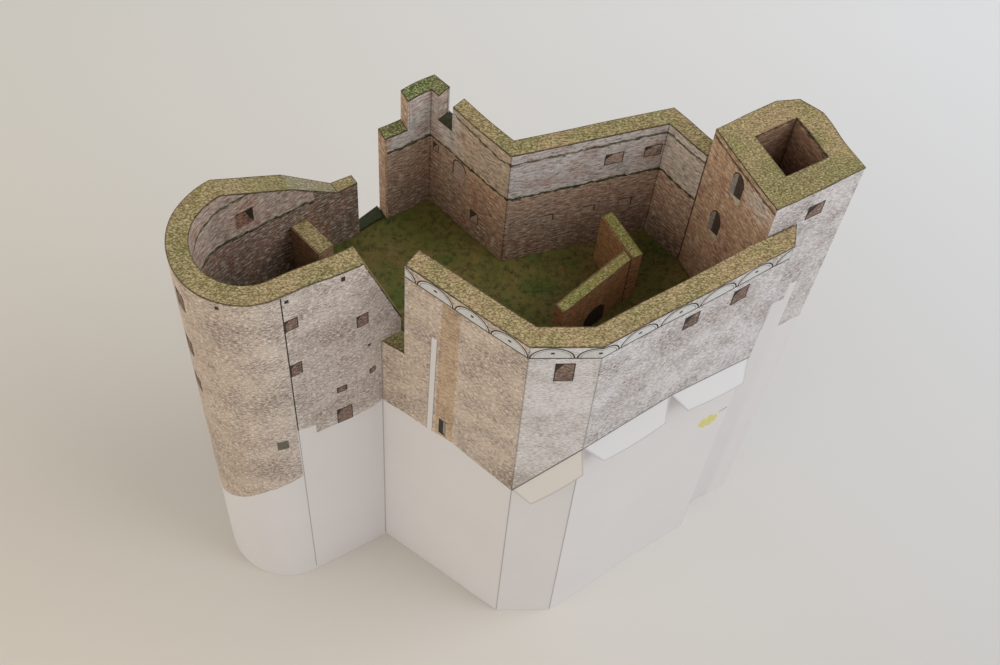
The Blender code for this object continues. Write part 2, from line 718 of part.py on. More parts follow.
def build_square_tower():
    """The square tower: five outer faces, its top with the shaft's mouth, and the shaft."""
    roof = TOWER_TOP_LEVEL - CARD - GLUE_GAP
    front_left, front_right, right_back, far_corner, back_right, back_left = tower_outline
    stand = FLOOR_LEVEL + GLUE_GAP
    wall_end = TOWER_RETURN + CARD + GLUE_GAP
    front = [
        (0, stand),
        (wall_end, stand),
        (wall_end, 0),
        (TOWER_WIDTH - GLUE_GAP / 2, 0),
        (TOWER_WIDTH - GLUE_GAP / 2, roof),
        (0, roof),
    ]
    panel("tower_front", front, front_left, TOWER_BEARING, 0, CARD, "printed_card")
    side = CARD + GLUE_GAP
    right = [(side, 0), (TOWER_RIGHT_DEPTH, 0), (TOWER_RIGHT_DEPTH, roof), (side, roof)]
    panel("tower_right", right, front_right, TOWER_BEARING + 90, 0, CARD, "printed_card")
    corner_line = [right_back, far_corner, back_right]
    shell = corner_skin(corner_line)
    prism("tower_corner", shell, 0, roof, "printed_card")
    skirt = (back_outer[0] - back_left).length + 2 * GLUE_GAP
    back_length = TOWER_BACK_WIDTH
    back = [
        (0, 0),
        (back_length - skirt, 0),
        (back_length - skirt, stand),
        (back_length, stand),
        (back_length, roof),
        (0, roof),
    ]
    panel("tower_back", back, back_right, TOWER_BEARING + 180, 0, CARD, "printed_card")
    left = [
        (side, stand),
        (TOWER_DEPTH - side, stand),
        (TOWER_DEPTH - side, roof),
        (side, roof),
    ]
    panel("tower_left", left, back_left, TOWER_BEARING - 90, 0, CARD, "inner_card")
    mouth = [
        tower_point(SHAFT_LEFT, SHAFT_FRONT),
        tower_point(SHAFT_LEFT + SHAFT_WIDTH, SHAFT_FRONT),
        tower_point(SHAFT_LEFT + SHAFT_WIDTH, SHAFT_FRONT + SHAFT_DEPTH),
        tower_point(SHAFT_LEFT, SHAFT_FRONT + SHAFT_DEPTH),
    ]
    prism(
        "tower_top",
        tower_outline,
        TOWER_TOP_LEVEL - CARD,
        TOWER_TOP_LEVEL,
        "mossy_card",
        holes=[mouth],
    )
    build_shaft(mouth, stand, roof)


def corner_skin(line):
    """A folded strip of card behind three outer corners of the square tower."""
    first, fold, last = line
    one = (fold - first).normalized()
    two = (last - fold).normalized()
    in_one = Vector((-one.y, one.x)) * CARD
    in_two = Vector((-two.y, two.x)) * CARD
    start = first + one * GLUE_GAP
    end = last - two * GLUE_GAP
    inner_fold = meet(first + in_one, one, last + in_two, two)
    return [start, fold, end, end + in_two, inner_fold, start + in_one]


def build_shaft(mouth, low, high):
    """The four sides of the shaft that hangs from the mouth down to the floor."""
    names = ("shaft_front", "shaft_right", "shaft_back", "shaft_left")
    for index, name in enumerate(names):
        start = mouth[index]
        end = mouth[(index + 1) % 4]
        along = (end - start).normalized()
        out = Vector((along.y, -along.x)) * CARD
        first = start - along * CARD
        last = end - along * GLUE_GAP
        prism(name, [first + out, last + out, last, first], low, high, "inner_card")


def build_floor():
    """The courtyard floor, cut to the inside of the outer skins."""
    centre = spots["round_centre"]
    first = FLAT_WALL_BEARING - 90 - 180
    last = ROUND_BACK_BEARING + 90 - 360
    steps = ROUND_SEGMENTS * ROUND_STEPS
    sweep = [last + (first - last) * index / steps for index in range(steps + 1)]
    arc = [centre + step(ROUND_RADIUS, bearing) for bearing in sweep]
    right_end, foot, _ = front_right_end()
    outline = [
        spots["corner"],
        spots["left_fold"],
        spots["right_fold"],
        right_end,
        foot,
        *tower_outline[1:5],
        *back_outer,
        spots["round_end"],
        spots["round_knee"],
        *arc,
    ]
    sheet = inset(outline, CARD + GLUE_GAP)
    prism("courtyard_floor", sheet, FLOOR_LEVEL - CARD, FLOOR_LEVEL, "grass_card")


def build_inner_walls():
    """The cross wall in the round tower and the two low walls in the courtyard."""
    stand = FLOOR_LEVEL + GLUE_GAP
    back_face = ROUND_BACK_BEARING - 90
    root = (
        spots["round_back"]
        + step(CROSS_WALL_START, ROUND_BACK_BEARING)
        + step(FRONT_THICK + GLUE_GAP, back_face)
    )
    along = step(1, CROSS_WALL_BEARING)
    side = step(CROSS_THICK, CROSS_WALL_BEARING + 90)
    face = step(1, ROUND_BACK_BEARING)
    tip = root + along * CROSS_WALL_LENGTH
    cross = [root, tip, tip + side, meet(root, face, tip + side, along)]
    prism("cross_wall", cross, stand, CROSS_WALL_TOP, "inner_card")
    corner = tower_point(-LOW_CORNER_CLEAR, LOW_CORNER_BACK)
    back = step(LOW_SHORT_LENGTH, TOWER_BEARING + 90)
    left = step(LOW_THICK, TOWER_BEARING + 180)
    short = [corner, corner + back, corner + back + left, corner + left]
    prism("low_wall_short", short, stand, LOW_WALL_TOP, "inner_card")
    near = corner + left + step(GLUE_GAP, TOWER_BEARING + 180)
    out = step(1, LOW_LONG_BEARING)
    across = step(LOW_THICK, LOW_LONG_BEARING - 90)
    short_face = step(1, TOWER_BEARING + 90)
    far = near + out * LOW_LONG_LENGTH
    top_corner = meet(near, short_face, far + across, out)
    prism("low_wall_long", [near, top_corner, far + across, far], stand, LOW_WALL_TOP, "inner_card")


def build_tab(name, wall_start, start_drop, wall_end, end_drop):
    """One glue tab: a tapered flap that hangs outwards from its fold along the print's edge."""
    start = wall_start.to_3d() + Vector((0, 0, FLOOR_LEVEL - start_drop))
    end = wall_end.to_3d() + Vector((0, 0, FLOOR_LEVEL - end_drop))
    fold = (end - start).normalized()
    length = (end - start).length
    out = Vector((fold.y, -fold.x, 0)).normalized()
    down = out.cross(fold)
    if down.z > 0:
        down = -down
    lift = math.radians(TAB_LIFT)
    hang = down * math.cos(lift) + out * math.sin(lift)
    normal = fold.cross(hang)
    outline = [
        (GLUE_GAP, 0),
        (length - GLUE_GAP, 0),
        (length - TAB_RIGHT_TAPER, TAB_DEPTH),
        (TAB_LEFT_TAPER, TAB_DEPTH),
    ]
    frame = Matrix((fold, hang, normal)).transposed().to_4x4()
    frame.translation = start + out * (GLUE_GAP + CARD / 2)
    place(name, flat_mesh(outline, CARD), frame, "white_card")


def build_tabs():
    """The three glue tabs of the printed front."""
    left, right, end = spots["left_fold"], spots["right_fold"], spots["right_end"]
    halfway = (right + end) / 2
    build_tab("glue_tab_left", left, TAB_LEFT_DROP, right, TAB_FOLD_DROP)
    build_tab("glue_tab_middle", right, TAB_FOLD_DROP, halfway, TAB_MIDDLE_DROP)
    build_tab("glue_tab_right", halfway, TAB_MIDDLE_DROP, end, TAB_RIGHT_DROP)


build_front()
build_flat_wall()
build_round_tower()
build_back_walls()
build_threshold()
build_square_tower()
build_floor()
build_inner_walls()
build_tabs()
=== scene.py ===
# %% [markdown]
# # A paper model of a ruined castle keep
# The real object is cut from printed card: folded outer sheets that run down to the table, inner
# sheets that stand on a printed floor, and strips of printed card glued on top of the walls. The
# CAD frame has its shapes. This lesson lays the sheets over them with round folds, and draws the
# print with shader nodes and thin printed shapes.

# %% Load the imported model
import math

import bmesh
import bpy
import numpy as np
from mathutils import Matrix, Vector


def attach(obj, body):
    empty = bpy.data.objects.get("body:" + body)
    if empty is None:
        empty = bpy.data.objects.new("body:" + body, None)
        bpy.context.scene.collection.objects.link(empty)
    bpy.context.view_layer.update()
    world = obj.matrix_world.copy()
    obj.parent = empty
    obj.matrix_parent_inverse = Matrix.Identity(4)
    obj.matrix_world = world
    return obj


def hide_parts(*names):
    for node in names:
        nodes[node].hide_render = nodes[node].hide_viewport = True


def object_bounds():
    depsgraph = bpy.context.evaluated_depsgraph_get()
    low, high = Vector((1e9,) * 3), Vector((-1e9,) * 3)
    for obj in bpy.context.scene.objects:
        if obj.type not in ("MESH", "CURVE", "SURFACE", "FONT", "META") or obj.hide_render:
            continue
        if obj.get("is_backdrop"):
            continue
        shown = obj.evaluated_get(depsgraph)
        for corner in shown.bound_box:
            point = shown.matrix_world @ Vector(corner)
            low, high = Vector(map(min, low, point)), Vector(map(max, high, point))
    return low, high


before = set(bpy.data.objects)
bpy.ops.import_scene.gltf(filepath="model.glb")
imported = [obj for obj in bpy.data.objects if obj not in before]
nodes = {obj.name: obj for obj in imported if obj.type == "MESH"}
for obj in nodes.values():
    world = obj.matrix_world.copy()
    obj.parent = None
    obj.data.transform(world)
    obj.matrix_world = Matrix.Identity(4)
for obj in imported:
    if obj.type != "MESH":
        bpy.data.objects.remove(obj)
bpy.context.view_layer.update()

# %% [markdown]
# ## Camera
# The photograph looks down on the model from above the table. The height of the walls and their
# upright edges give the lens and the place, so both are set as numbers here.

# %% Set the camera
MM = 0.001
camera = bpy.data.objects.new("camera", bpy.data.cameras.new("camera"))
bpy.context.scene.collection.objects.link(camera)
camera.data.lens = 54.244
camera.data.sensor_width = 36
camera.data.clip_start = 0.01
camera.location = (-21.3 * MM, -165.5 * MM, 375 * MM)
camera.rotation_euler = [math.radians(turn) for turn in (30.2703, -3.0688, -1.9701)]
bpy.context.scene.camera = camera
print("camera", [round(v, 4) for v in camera.location])

# %% [markdown]
# ## Light
# A paper model is photographed in soft window light. A pale world does most of the work; one
# large lamp on the right and a dim warm one on the left tell the folds apart. Standard view keeps
# a colour as it is written.


# %% Light the table
def add_lamp(name, place, size, power, colour):
    """A square lamp that faces the middle of the model."""
    lamp = bpy.data.objects.new(name, bpy.data.lights.new(name, "AREA"))
    lamp.data.size = size
    lamp.data.energy = power
    lamp.data.color = colour
    aim = np.array((0, 0, 0.08)) - np.array(place)
    flat = math.hypot(aim[0], aim[1])
    lamp.location = place
    lamp.rotation_euler = (math.atan2(flat, -aim[2]), 0, math.atan2(aim[1], aim[0]) - math.pi / 2)
    bpy.context.scene.collection.objects.link(lamp)


add_lamp("window_light", (0.60, -0.10, 0.70), 0.7, 4.15, (0.93, 0.972, 1.0))
add_lamp("room_light", (-0.72, -0.45, 0.50), 0.9, 2.1, (1.0, 0.885, 0.69))

world = bpy.data.worlds.new("pale_room")
bpy.context.scene.world = world
world.use_nodes = True
sky = world.node_tree.nodes["Background"]
sky.inputs["Color"].default_value = (1.0, 0.975, 0.945, 1)
sky.inputs["Strength"].default_value = 0.58
bpy.context.scene.view_settings.view_transform = "Standard"
print("lamps", [lamp.name for lamp in bpy.data.lights])

# %% [markdown]
# ## A recipe book for finishes
# Every finish is a Principled shader fed by a handful of pattern nodes. A small class keeps the
# wiring short: it makes a node, fills its sockets with numbers or links, and mixes colours.


# %% Helpers for shader nodes
class Recipe:
    """The shader nodes of one finish."""

    def __init__(self, name, roughness=0.68):
        self.material = bpy.data.materials.new(name)
        self.material.use_nodes = True
        self.tree = self.material.node_tree
        self.shader = self.tree.nodes["Principled BSDF"]
        self.shader.inputs["Roughness"].default_value = roughness
        self.shader.inputs["Specular IOR Level"].default_value = 0.3

    def put(self, socket, value):
        """Links a socket, or writes a number or a colour into it."""
        if isinstance(value, bpy.types.NodeSocket):
            self.tree.links.new(value, socket)
        else:
            socket.default_value = value

    def node(self, kind, settings=None, **inputs):
        """Makes a node; an input's name has _ for its blanks."""
        made = self.tree.nodes.new("ShaderNode" + kind)
        for name, value in (settings or {}).items():
            setattr(made, name, value)
        for name, value in inputs.items():
            self.put(made.inputs[name.replace("_", " ")], value)
        return made

    def calc(self, operation, first, second=0.0, clamp=True):
        """One sum, held between nought and one unless told otherwise."""
        made = self.node("Math", {"operation": operation, "use_clamp": clamp})
        self.put(made.inputs[0], first)
        self.put(made.inputs[1], second)
        return made.outputs[0]

    def vector(self, operation, first, second):
        """One vector sum."""
        made = self.node("VectorMath", {"operation": operation})
        self.put(made.inputs[0], first)
        self.put(made.inputs[1], second)
        return made.outputs[0]

    def blend(self, first, second, share):
        """Mixes two colours."""
        made = self.node("Mix", {"data_type": "RGBA"})
        self.put(made.inputs[0], share)
        self.put(made.inputs[6], first)
        self.put(made.inputs[7], second)
        return made.outputs[2]

    def wash(self, colour, over, value, low, high, share=1.0):
        """Lays a colour over another as a value runs from low to high, up to a share."""
        return self.blend(colour, over, self.slide(value, low, high, 0.0, share))

    def lay(self, colour, over, value, share):
        """Lays a colour over another by a value times a share."""
        return self.blend(colour, over, self.calc("MULTIPLY", value, share))

    def noise(self, place, scale, detail=2.0, rough=0.55, out="Fac"):
        """Cloudy noise at a scale per millimetre."""
        made = self.node("TexNoise", None, Vector=place, Scale=scale, Detail=detail, Roughness=rough)
        return made.outputs[out]

    def shaken(self, place, scale, amount):
        """A place pushed about by noise, in millimetres."""
        push = self.vector("SUBTRACT", self.noise(place, scale, 2, out="Color"), (0.5, 0.5, 0.5))
        return self.vector("ADD", place, self.vector("MULTIPLY", push, (amount, amount, 0)))

    def slide(self, value, low, high, start=0.0, end=1.0):
        """Maps a range of values onto another one."""
        made = self.node("MapRange", None, Value=value, From_Min=low, From_Max=high)
        self.put(made.inputs["To Min"], start)
        self.put(made.inputs["To Max"], end)
        return made.outputs[0]

    def sheet_place(self):
        """Millimetres along and up the sheet."""
        return self.node("UVMap", {"uv_map": "print"}).outputs[0]

    def solid_place(self):
        """Millimetres in the model, for parts without a map."""
        place = self.node("TexCoord").outputs["Object"]
        return self.vector("MULTIPLY", place, (1000, 1000, 1000))

    def mark(self, name):
        """A number kept on the mesh's vertices."""
        return self.node("Attribute", {"attribute_name": name}).outputs["Fac"]

    def paper(self, colour, place, relief=0.25):
        """Finishes the recipe with paper fibres and the uneven gloss of toner."""
        fibre = self.noise(place, 3.1, 3, 0.7)
        self.put(self.shader.inputs["Base Color"], colour)
        self.put(self.shader.inputs["Roughness"], self.slide(fibre, 0.3, 0.7, 0.58, 0.76))
        bump = self.node("Bump", None, Strength=relief, Distance=0.00004, Height=fibre)
        self.put(self.shader.inputs["Normal"], bump.outputs[0])
        return self.material


def tint(red, green, blue):
    """A colour as it shows on screen, 0 to 255, made linear for the nodes."""
    return (*[((v / 255 + 0.055) / 1.055) ** 2.4 for v in (red, green, blue)], 1.0)


print("a mid grey is", round(tint(128, 128, 128)[0], 3))

# %% [markdown]
# ## Printed stone
# The outer sheets carry a print of rubble walls: thin courses, pale mortar and brown dashes, with
# larger clouds of damp. Brick texture gives the courses, noise pushed flat gives the dashes, and
# marks on the vertices say where the print is stained, how much warmer each face is, partly in the
# print and partly as painted light, where a face is painted paler as painted light, and where a fold
# has painted shade.


# %% Make the stone prints
def add_courses(recipe, place, width, height):
    """Rows of small stones: a random tone for each, and the joints between them."""
    rows = recipe.node(
        "TexBrick",
        None,
        Vector=place,
        Color1=(0, 0, 0, 1),
        Color2=(1, 1, 1, 1),
        Mortar=(0.5, 0.5, 0.5, 1),
        Scale=1.0,
        Mortar_Size=height * 0.2,
        Mortar_Smooth=0.9,
        Brick_Width=width,
        Row_Height=height,
    )
    return rows.outputs["Color"], rows.outputs["Fac"]


def stone_print(name, cool, warm_print_and_painted_light, dark, light):
    """Pale rubble: clouds between a cool and a warmer tint, dark dashes and pale joints. The mark for
    the warmer tint is partly the print's own and partly painted light; where it falls below nought,
    the print is painted paler as painted light."""
    recipe = Recipe(name)
    place = recipe.sheet_place()
    wavy = recipe.shaken(place, 0.4, 1.0)
    stones, joints = add_courses(recipe, wavy, 1.1, 0.6)
    dashes = recipe.noise(recipe.vector("MULTIPLY", wavy, (1.15, 2.7, 1)), 1.0, 3, 0.65)
    clouds = recipe.noise(place, 0.1, 5, 0.65)
    damp = recipe.noise(recipe.vector("ADD", place, (31, 7, 0)), 0.22, 4, 0.6)
    flecks = recipe.noise(place, 1.1, 3, 0.75)
    # The warmer tint is partly the print's own and partly painted light on faces turned to the room lamp on
    # the left.
    ground = recipe.blend(cool, warm_print_and_painted_light, recipe.mark("warm_print_and_painted_light"))
    shade = recipe.wash(ground, dark, clouds, 0.44, 0.66, 0.46)
    shade = recipe.wash(shade, dark, damp, 0.52, 0.68, 0.36)
    stain = recipe.calc("MULTIPLY", recipe.mark("stain"), recipe.slide(damp, 0.3, 0.55, 0.55, 1))
    shade = recipe.blend(shade, tint(124, 100, 78), stain)
    dense = recipe.slide(clouds, 0.36, 0.6, 0.35, 1.0)
    drawn = recipe.calc("MULTIPLY", recipe.slide(dashes, 0.51, 0.62), dense)
    colour = recipe.blend(shade, dark, drawn)
    colour = recipe.wash(colour, dark, stones, 0.45, 1.0, 0.22)
    bright = recipe.blend(colour, light, 0.9)
    colour = recipe.wash(colour, bright, dashes, 0.46, 0.34, 0.9)
    colour = recipe.lay(colour, bright, joints, 0.16)
    colour = recipe.wash(colour, bright, flecks, 0.54, 0.66, 0.7)
    # Painted light: where the mark for warmer faces is below nought, as on the middle front face, the print
    # is painted paler.
    colour = recipe.wash(colour, light, recipe.mark("warm_print_and_painted_light"), 0.0, -1.0, 0.5)
    # Painted shade along the folds.
    colour = recipe.lay(colour, tint(70, 66, 62), recipe.mark("fold_shade"), 0.5)
    return recipe.paper(colour, place)


outer_print = stone_print(
    "outer_print", tint(216, 213, 216), tint(207, 183, 157), tint(114, 92, 82), tint(242, 238, 234)
)
pilaster_print = stone_print(
    "pilaster_print", tint(200, 174, 146), tint(200, 174, 146), tint(112, 84, 62), tint(226, 206, 180)
)
print("print finishes", outer_print.name, pilaster_print.name)

# %% [markdown]
# ## White card
# Below the print the card is bare: pale, smooth, a little fibrous, with a soft grey line of
# painted shade where it is folded.


# %% Make the white card
def bare_card(name, colour):
    """Unprinted card: faint clouds and fibres, with painted shade in the folds and along an outline."""
    recipe = Recipe(name)
    place = recipe.solid_place()
    clouds = recipe.noise(place, 0.05, 3)
    shade = recipe.wash(colour, tint(196, 190, 184), clouds, 0.3, 0.7, 0.08)
    # Painted shade in the folds.
    shade = recipe.lay(shade, tint(140, 134, 140), recipe.mark("fold_shade"), 0.4)
    # Painted shade along an outline: on the tabs, their cut edges.
    shade = recipe.lay(shade, tint(120, 116, 116), recipe.mark("edge"), 0.42)
    return recipe.paper(shade, place, 0.12)


white_card = bare_card("white_card", tint(226, 223, 224))
tab_card = bare_card("tab_card", tint(226, 222, 219))
# The tabs on the right face get a greyer copy of the tab card: painted shade where the window lamp lights
# them.
tab_card_with_painted_shade = bare_card("tab_card_with_painted_shade", tint(210, 209, 210))
print("card finish", white_card.name, tab_card.name, tab_card_with_painted_shade.name)

# %% [markdown]
# ## Inner prints, cap prints and grass
# Inside the walls the print is brown masonry with two mossy ledges; the strips on top show
# rubble with moss, outlined where they were cut; the floor is dark turf.


# %% Make the other prints
def inner_print(name, upper, lower, deep, warm_upper=None, warm_lower=None, red_share=0.8):
    """Brown masonry: paler above the lower ledge, darker towards the floor, with mossy ledges.
    Two marks say how far a point lies above each ledge, in millimetres; stains are pale."""
    recipe = Recipe(name)
    place = recipe.sheet_place()
    wavy = recipe.shaken(place, 0.5, 0.9)
    stones, joints = add_courses(recipe, wavy, 1.7, 0.75)
    dashes = recipe.noise(recipe.vector("MULTIPLY", wavy, (0.75, 2.1, 1)), 0.9, 4, 0.65)
    clouds = recipe.noise(place, 0.13, 4, 0.6)
    wobble = recipe.slide(recipe.noise(place, 0.45, 3), 0.3, 0.7, -0.3, 0.3)
    # The mark for warmer faces is partly the print's own tint and partly painted light.
    warmth_with_painted_light = recipe.mark("warm_print_and_painted_light")
    above = recipe.blend(upper, warm_upper or upper, warmth_with_painted_light)
    below = recipe.blend(lower, warm_lower or lower, warmth_with_painted_light)
    over = recipe.calc("ADD", recipe.mark("over_low_ledge"), wobble, clamp=False)
    below = recipe.wash(below, deep, over, 0.0, -23.0, 0.8)
    colour = recipe.wash(below, above, over, -0.2, 0.2)
    colour = recipe.blend(colour, tint(206, 198, 190), recipe.mark("stain"))
    black = recipe.blend(colour, tint(34, 24, 18), 0.8)
    colour = recipe.wash(colour, black, dashes, 0.5, 0.64, 0.85)
    colour = recipe.wash(colour, black, clouds, 0.52, 0.7, 0.35)
    red = recipe.blend(colour, tint(150, 88, 66), 0.6)
    colour = recipe.wash(colour, red, clouds, 0.5, 0.34, red_share)
    pale = recipe.blend(colour, tint(246, 238, 228), 0.75)
    colour = recipe.wash(colour, pale, dashes, 0.48, 0.34, 0.85)
    colour = recipe.lay(colour, pale, joints, 0.2)
    colour = recipe.wash(colour, black, stones, 0.4, 1.0, 0.3)
    moss = recipe.wash(tint(36, 34, 22), tint(92, 102, 56), dashes, 0.56, 0.4)
    thick = recipe.slide(recipe.noise(place, 0.8, 3), 0.35, 0.65, 0.14, 0.6)
    for ledge, strength in (("over_low_ledge", 0.95), ("over_high_ledge", 0.8)):
        away = recipe.calc("ADD", recipe.mark(ledge), wobble, clamp=False)
        away = recipe.calc("ABSOLUTE", away, clamp=False)
        line = recipe.calc("LESS_THAN", away, thick)
        colour = recipe.lay(colour, moss, line, strength)
    # Painted shade along the folds, nearly black.
    colour = recipe.lay(colour, tint(24, 18, 14), recipe.mark("fold_shade"), 0.6)
    return recipe.paper(colour, place)


def rubble_print(name, khaki, moss, pink, dark):
    """Rubble with moss: small flat stones in three tints, joints, and painted shade on the cut edges and in
    a dark line along them.
    """
    recipe = Recipe(name)
    place = recipe.solid_place()
    wavy = recipe.shaken(place, 0.7, 0.9)
    stones = recipe.vector("MULTIPLY", wavy, (1.0, 1.8, 1))
    cells = recipe.node("TexVoronoi", None, Vector=stones, Scale=1.1, Randomness=1.0)
    tone = recipe.node("SeparateColor", None, Color=cells.outputs["Color"]).outputs["Red"]
    clouds = recipe.noise(place, 0.16, 4, 0.6)
    strokes = recipe.noise(stones, 2.1, 2, 0.6)
    colour = recipe.wash(khaki, moss, clouds, 0.5, 0.66, 0.65)
    colour = recipe.wash(colour, pink, clouds, 0.48, 0.36, 0.7)
    colour = recipe.blend(colour, moss, recipe.mark("moss"))
    colour = recipe.wash(colour, dark, tone, 0.3, 1.0, 0.28)
    colour = recipe.wash(colour, dark, cells.outputs["Distance"], 0.3, 0.6, 0.3)
    colour = recipe.wash(colour, dark, strokes, 0.5, 0.68, 0.7)
    pale = recipe.blend(colour, tint(232, 216, 176), 0.6)
    colour = recipe.wash(colour, pale, strokes, 0.5, 0.32, 0.8)
    # Painted shade on the cut edges and in a dark line along them.
    colour = recipe.lay(colour, tint(52, 44, 34), recipe.mark("edge"), 0.85)
    return recipe.paper(colour, place)


def turf_print(name, grass, earth, moss):
    """Dark turf on the courtyard floor: moss, earth and worn patches."""
    recipe = Recipe(name, 0.75)
    place = recipe.solid_place()
    clouds = recipe.noise(place, 0.07, 5, 0.62)
    tufts = recipe.noise(place, 0.9, 4, 0.7)
    patches = recipe.noise(recipe.vector("ADD", place, (40, 17, 0)), 0.11, 3)
    colour = recipe.wash(grass, earth, clouds, 0.42, 0.62)
    colour = recipe.wash(colour, moss, patches, 0.5, 0.64, 0.7)
    colour = recipe.wash(colour, tint(34, 30, 14), tufts, 0.46, 0.7, 0.8)
    return recipe.paper(colour, place)


cap_print = rubble_print(
    "cap_print", tint(166, 146, 101), tint(116, 118, 60), tint(174, 142, 110), tint(72, 58, 33)
)
slope_print = rubble_print(
    "pale_slope_print", tint(150, 143, 116), tint(132, 140, 108), tint(160, 148, 124), tint(92, 82, 58)
)
lime_print = rubble_print(
    "lime_print", tint(150, 138, 74), tint(132, 138, 60), tint(164, 136, 84), tint(92, 84, 40)
)
mossy_print = rubble_print(
    "mossy_print", tint(124, 116, 70), tint(84, 104, 42), tint(134, 116, 80), tint(54, 56, 30)
)
yard_print = inner_print(
    "yard_print",
    tint(222, 216, 216),
    tint(192, 163, 143),
    tint(142, 113, 92),
    tint(206, 180, 150),
    tint(206, 164, 128),
)
round_print = inner_print(
    "round_inside_print",
    tint(190, 167, 152),
    tint(144, 117, 98),
    tint(98, 74, 56),
    warm_lower=tint(196, 166, 140),
)
tower_print = inner_print(
    "tower_inner_print", tint(202, 162, 126), tint(176, 138, 100), tint(120, 90, 66), red_share=1.0
)
turf = turf_print("turf_print", tint(98, 98, 42), tint(126, 108, 60), tint(74, 94, 34))
dark_turf = turf_print("dark_turf_print", tint(52, 62, 36), tint(66, 64, 44), tint(34, 52, 24))
prints = (cap_print, slope_print, lime_print, mossy_print, yard_print, round_print, tower_print, turf)
print("prints", [finish.name for finish in prints])

# %% [markdown]
# ## Corners of the plan
# The plan is walked like a surveyor would: a length along a bearing, from fold to fold, starting
# at the front left fold, which the CAD frame gives. Inner faces lie one wall thickness behind the
# outer ones.

# %% Walk round the plan
FLOOR = 98.3
WALL_TOP = 136.3
TOWER_TOP = 145.2
SILL = 102.8
SLOPE_FOOT = 108.7
NOTCH_LEVEL = 128.7
FIN_STEP_LEVEL = 127.0
KNEE_LEVEL = 126.2
ROUND_END_LEVEL = 117.2
FRONT_THICK = 4.4
BACK_THICK = 3.7
FIN_THICK = 3.2
ROUND_END_THICK = 2.3
FRONT_LEFT = 34.9
FRONT_MIDDLE = 13.8
FRONT_RIGHT = 44.5
LEFT_BEARING = 142.6
RIGHT_BEARING = 30.8
SILL_LENGTH = 5.5
FLAT_LENGTH = 21.2
FLAT_BEARING = 207.9
FLAT_TOP = 17.2
FLAT_REACH = 25.5
ROUND = 15.3
BACK_BEARING = 32.9
TOWER_BEARING = 27.5


def step(length, bearing):
    """A move on the plan: a length along a bearing in degrees."""
    turn = math.radians(bearing)
    return length * np.array((math.cos(turn), math.sin(turn)))


def meet(point_a, way_a, point_b, way_b):
    """The plan point where two lines cross."""
    across = way_a[0] * way_b[1] - way_a[1] * way_b[0]
    gap = point_b - point_a
    return point_a + way_a * ((gap[0] * way_b[1] - gap[1] * way_b[0]) / across)


middle_wall = nodes["front_middle_wall"]
middle_points = np.array([middle_wall.matrix_world @ v.co for v in middle_wall.data.vertices])
left_fold = middle_points.min(0)[:2] / MM
right_fold = left_fold + step(FRONT_MIDDLE, 0)
right_end = right_fold + step(FRONT_RIGHT, RIGHT_BEARING)
corner = left_fold + step(FRONT_LEFT, LEFT_BEARING)
seam = corner + step(FLAT_LENGTH, FLAT_BEARING)
flat_run = step(1, FLAT_BEARING - 180)
flat_in = step(FRONT_THICK, FLAT_BEARING - 90)
round_centre = seam + step(ROUND, FLAT_BEARING - 90)
round_back = round_centre + step(ROUND, BACK_BEARING + 90)
back_run = step(1, BACK_BEARING)
back_in = step(FRONT_THICK, BACK_BEARING - 90)
round_knee = round_back + 16.0 * back_run
round_inner_end = round_back + 31.3 * back_run + back_in
round_end = round_inner_end + step(ROUND_END_THICK, BACK_BEARING + 90)
tower_start = right_fold + step(41.1, RIGHT_BEARING) + step(FRONT_THICK, RIGHT_BEARING + 90)


def tower_at(across, depth):
    """A plan point measured from the square tower's front left corner."""
    return tower_start + step(across, TOWER_BEARING) + step(depth, TOWER_BEARING + 90)


TOWER_OUTLINE = ((0, 0), (20.8, 0), (20.8, 14.9), (19.0, 19.9), (14.7, 21.7), (0, 21.7))
SHAFT = ((6, 5.65), (16, 5.65), (16, 16.3), (6, 16.3))
tower = np.array([tower_at(*place) for place in TOWER_OUTLINE])
front_foot = tower_at(7.2, -0.3)
print("front left fold at", left_fold.round(2), "square tower at", tower[0].round(2))

# %% [markdown]
# ## Back walls
# The back walls are walked from the free end beside the open gap towards the square tower; their
# middle piece is as long as it takes to meet the tower.

# %% Walk along the back
BACK_BEARINGS = (131.8, 194.2, 134.1, 206.6)
fin_end = round_inner_end + step(7.3, 35.9)
fin_fold = fin_end - step(10.9, BACK_BEARINGS[3])
left_turn = fin_fold - step(22.4, BACK_BEARINGS[2])
right_turn = meet(tower[5], step(1, BACK_BEARINGS[0]), left_turn, step(1, BACK_BEARINGS[1]))
behind_tower = (tower[5] + step(0.3, TOWER_BEARING + 90), step(1, TOWER_BEARING))
at_tower = meet(tower[5], step(1, BACK_BEARINGS[0]), *behind_tower)
back_inner = np.array([at_tower, right_turn, left_turn, fin_fold, fin_end])
back_faces = [behind_tower]
for place, bearing, thick in zip(back_inner, BACK_BEARINGS, (BACK_THICK, BACK_THICK, FIN_THICK, FIN_THICK)):
    back_faces.append((place + step(thick, bearing - 90), step(1, bearing)))
back_outer = [meet(*face, *after) for face, after in zip(back_faces, back_faces[1:])]
back_outer = np.array([*back_outer, fin_end + step(FIN_THICK, BACK_BEARINGS[3] - 90)])


def arc(radius, start, end, steps=61):
    """Plan points on the round tower's circle between two bearings in degrees."""
    turn = np.radians(np.linspace(start, end, steps))
    return round_centre + radius * np.stack([np.cos(turn), np.sin(turn)], 1)


RING = (BACK_BEARING + 90, FLAT_BEARING + 90)
print("back walls turn at", back_inner.round(1).tolist())

# %% [markdown]
# ## Not quite upright
# Glued card never stands quite true. At the corners listed here the top and the foot of the real
# walls stand up to 1.7 millimetres off the plan; all between them leans with its neighbours.

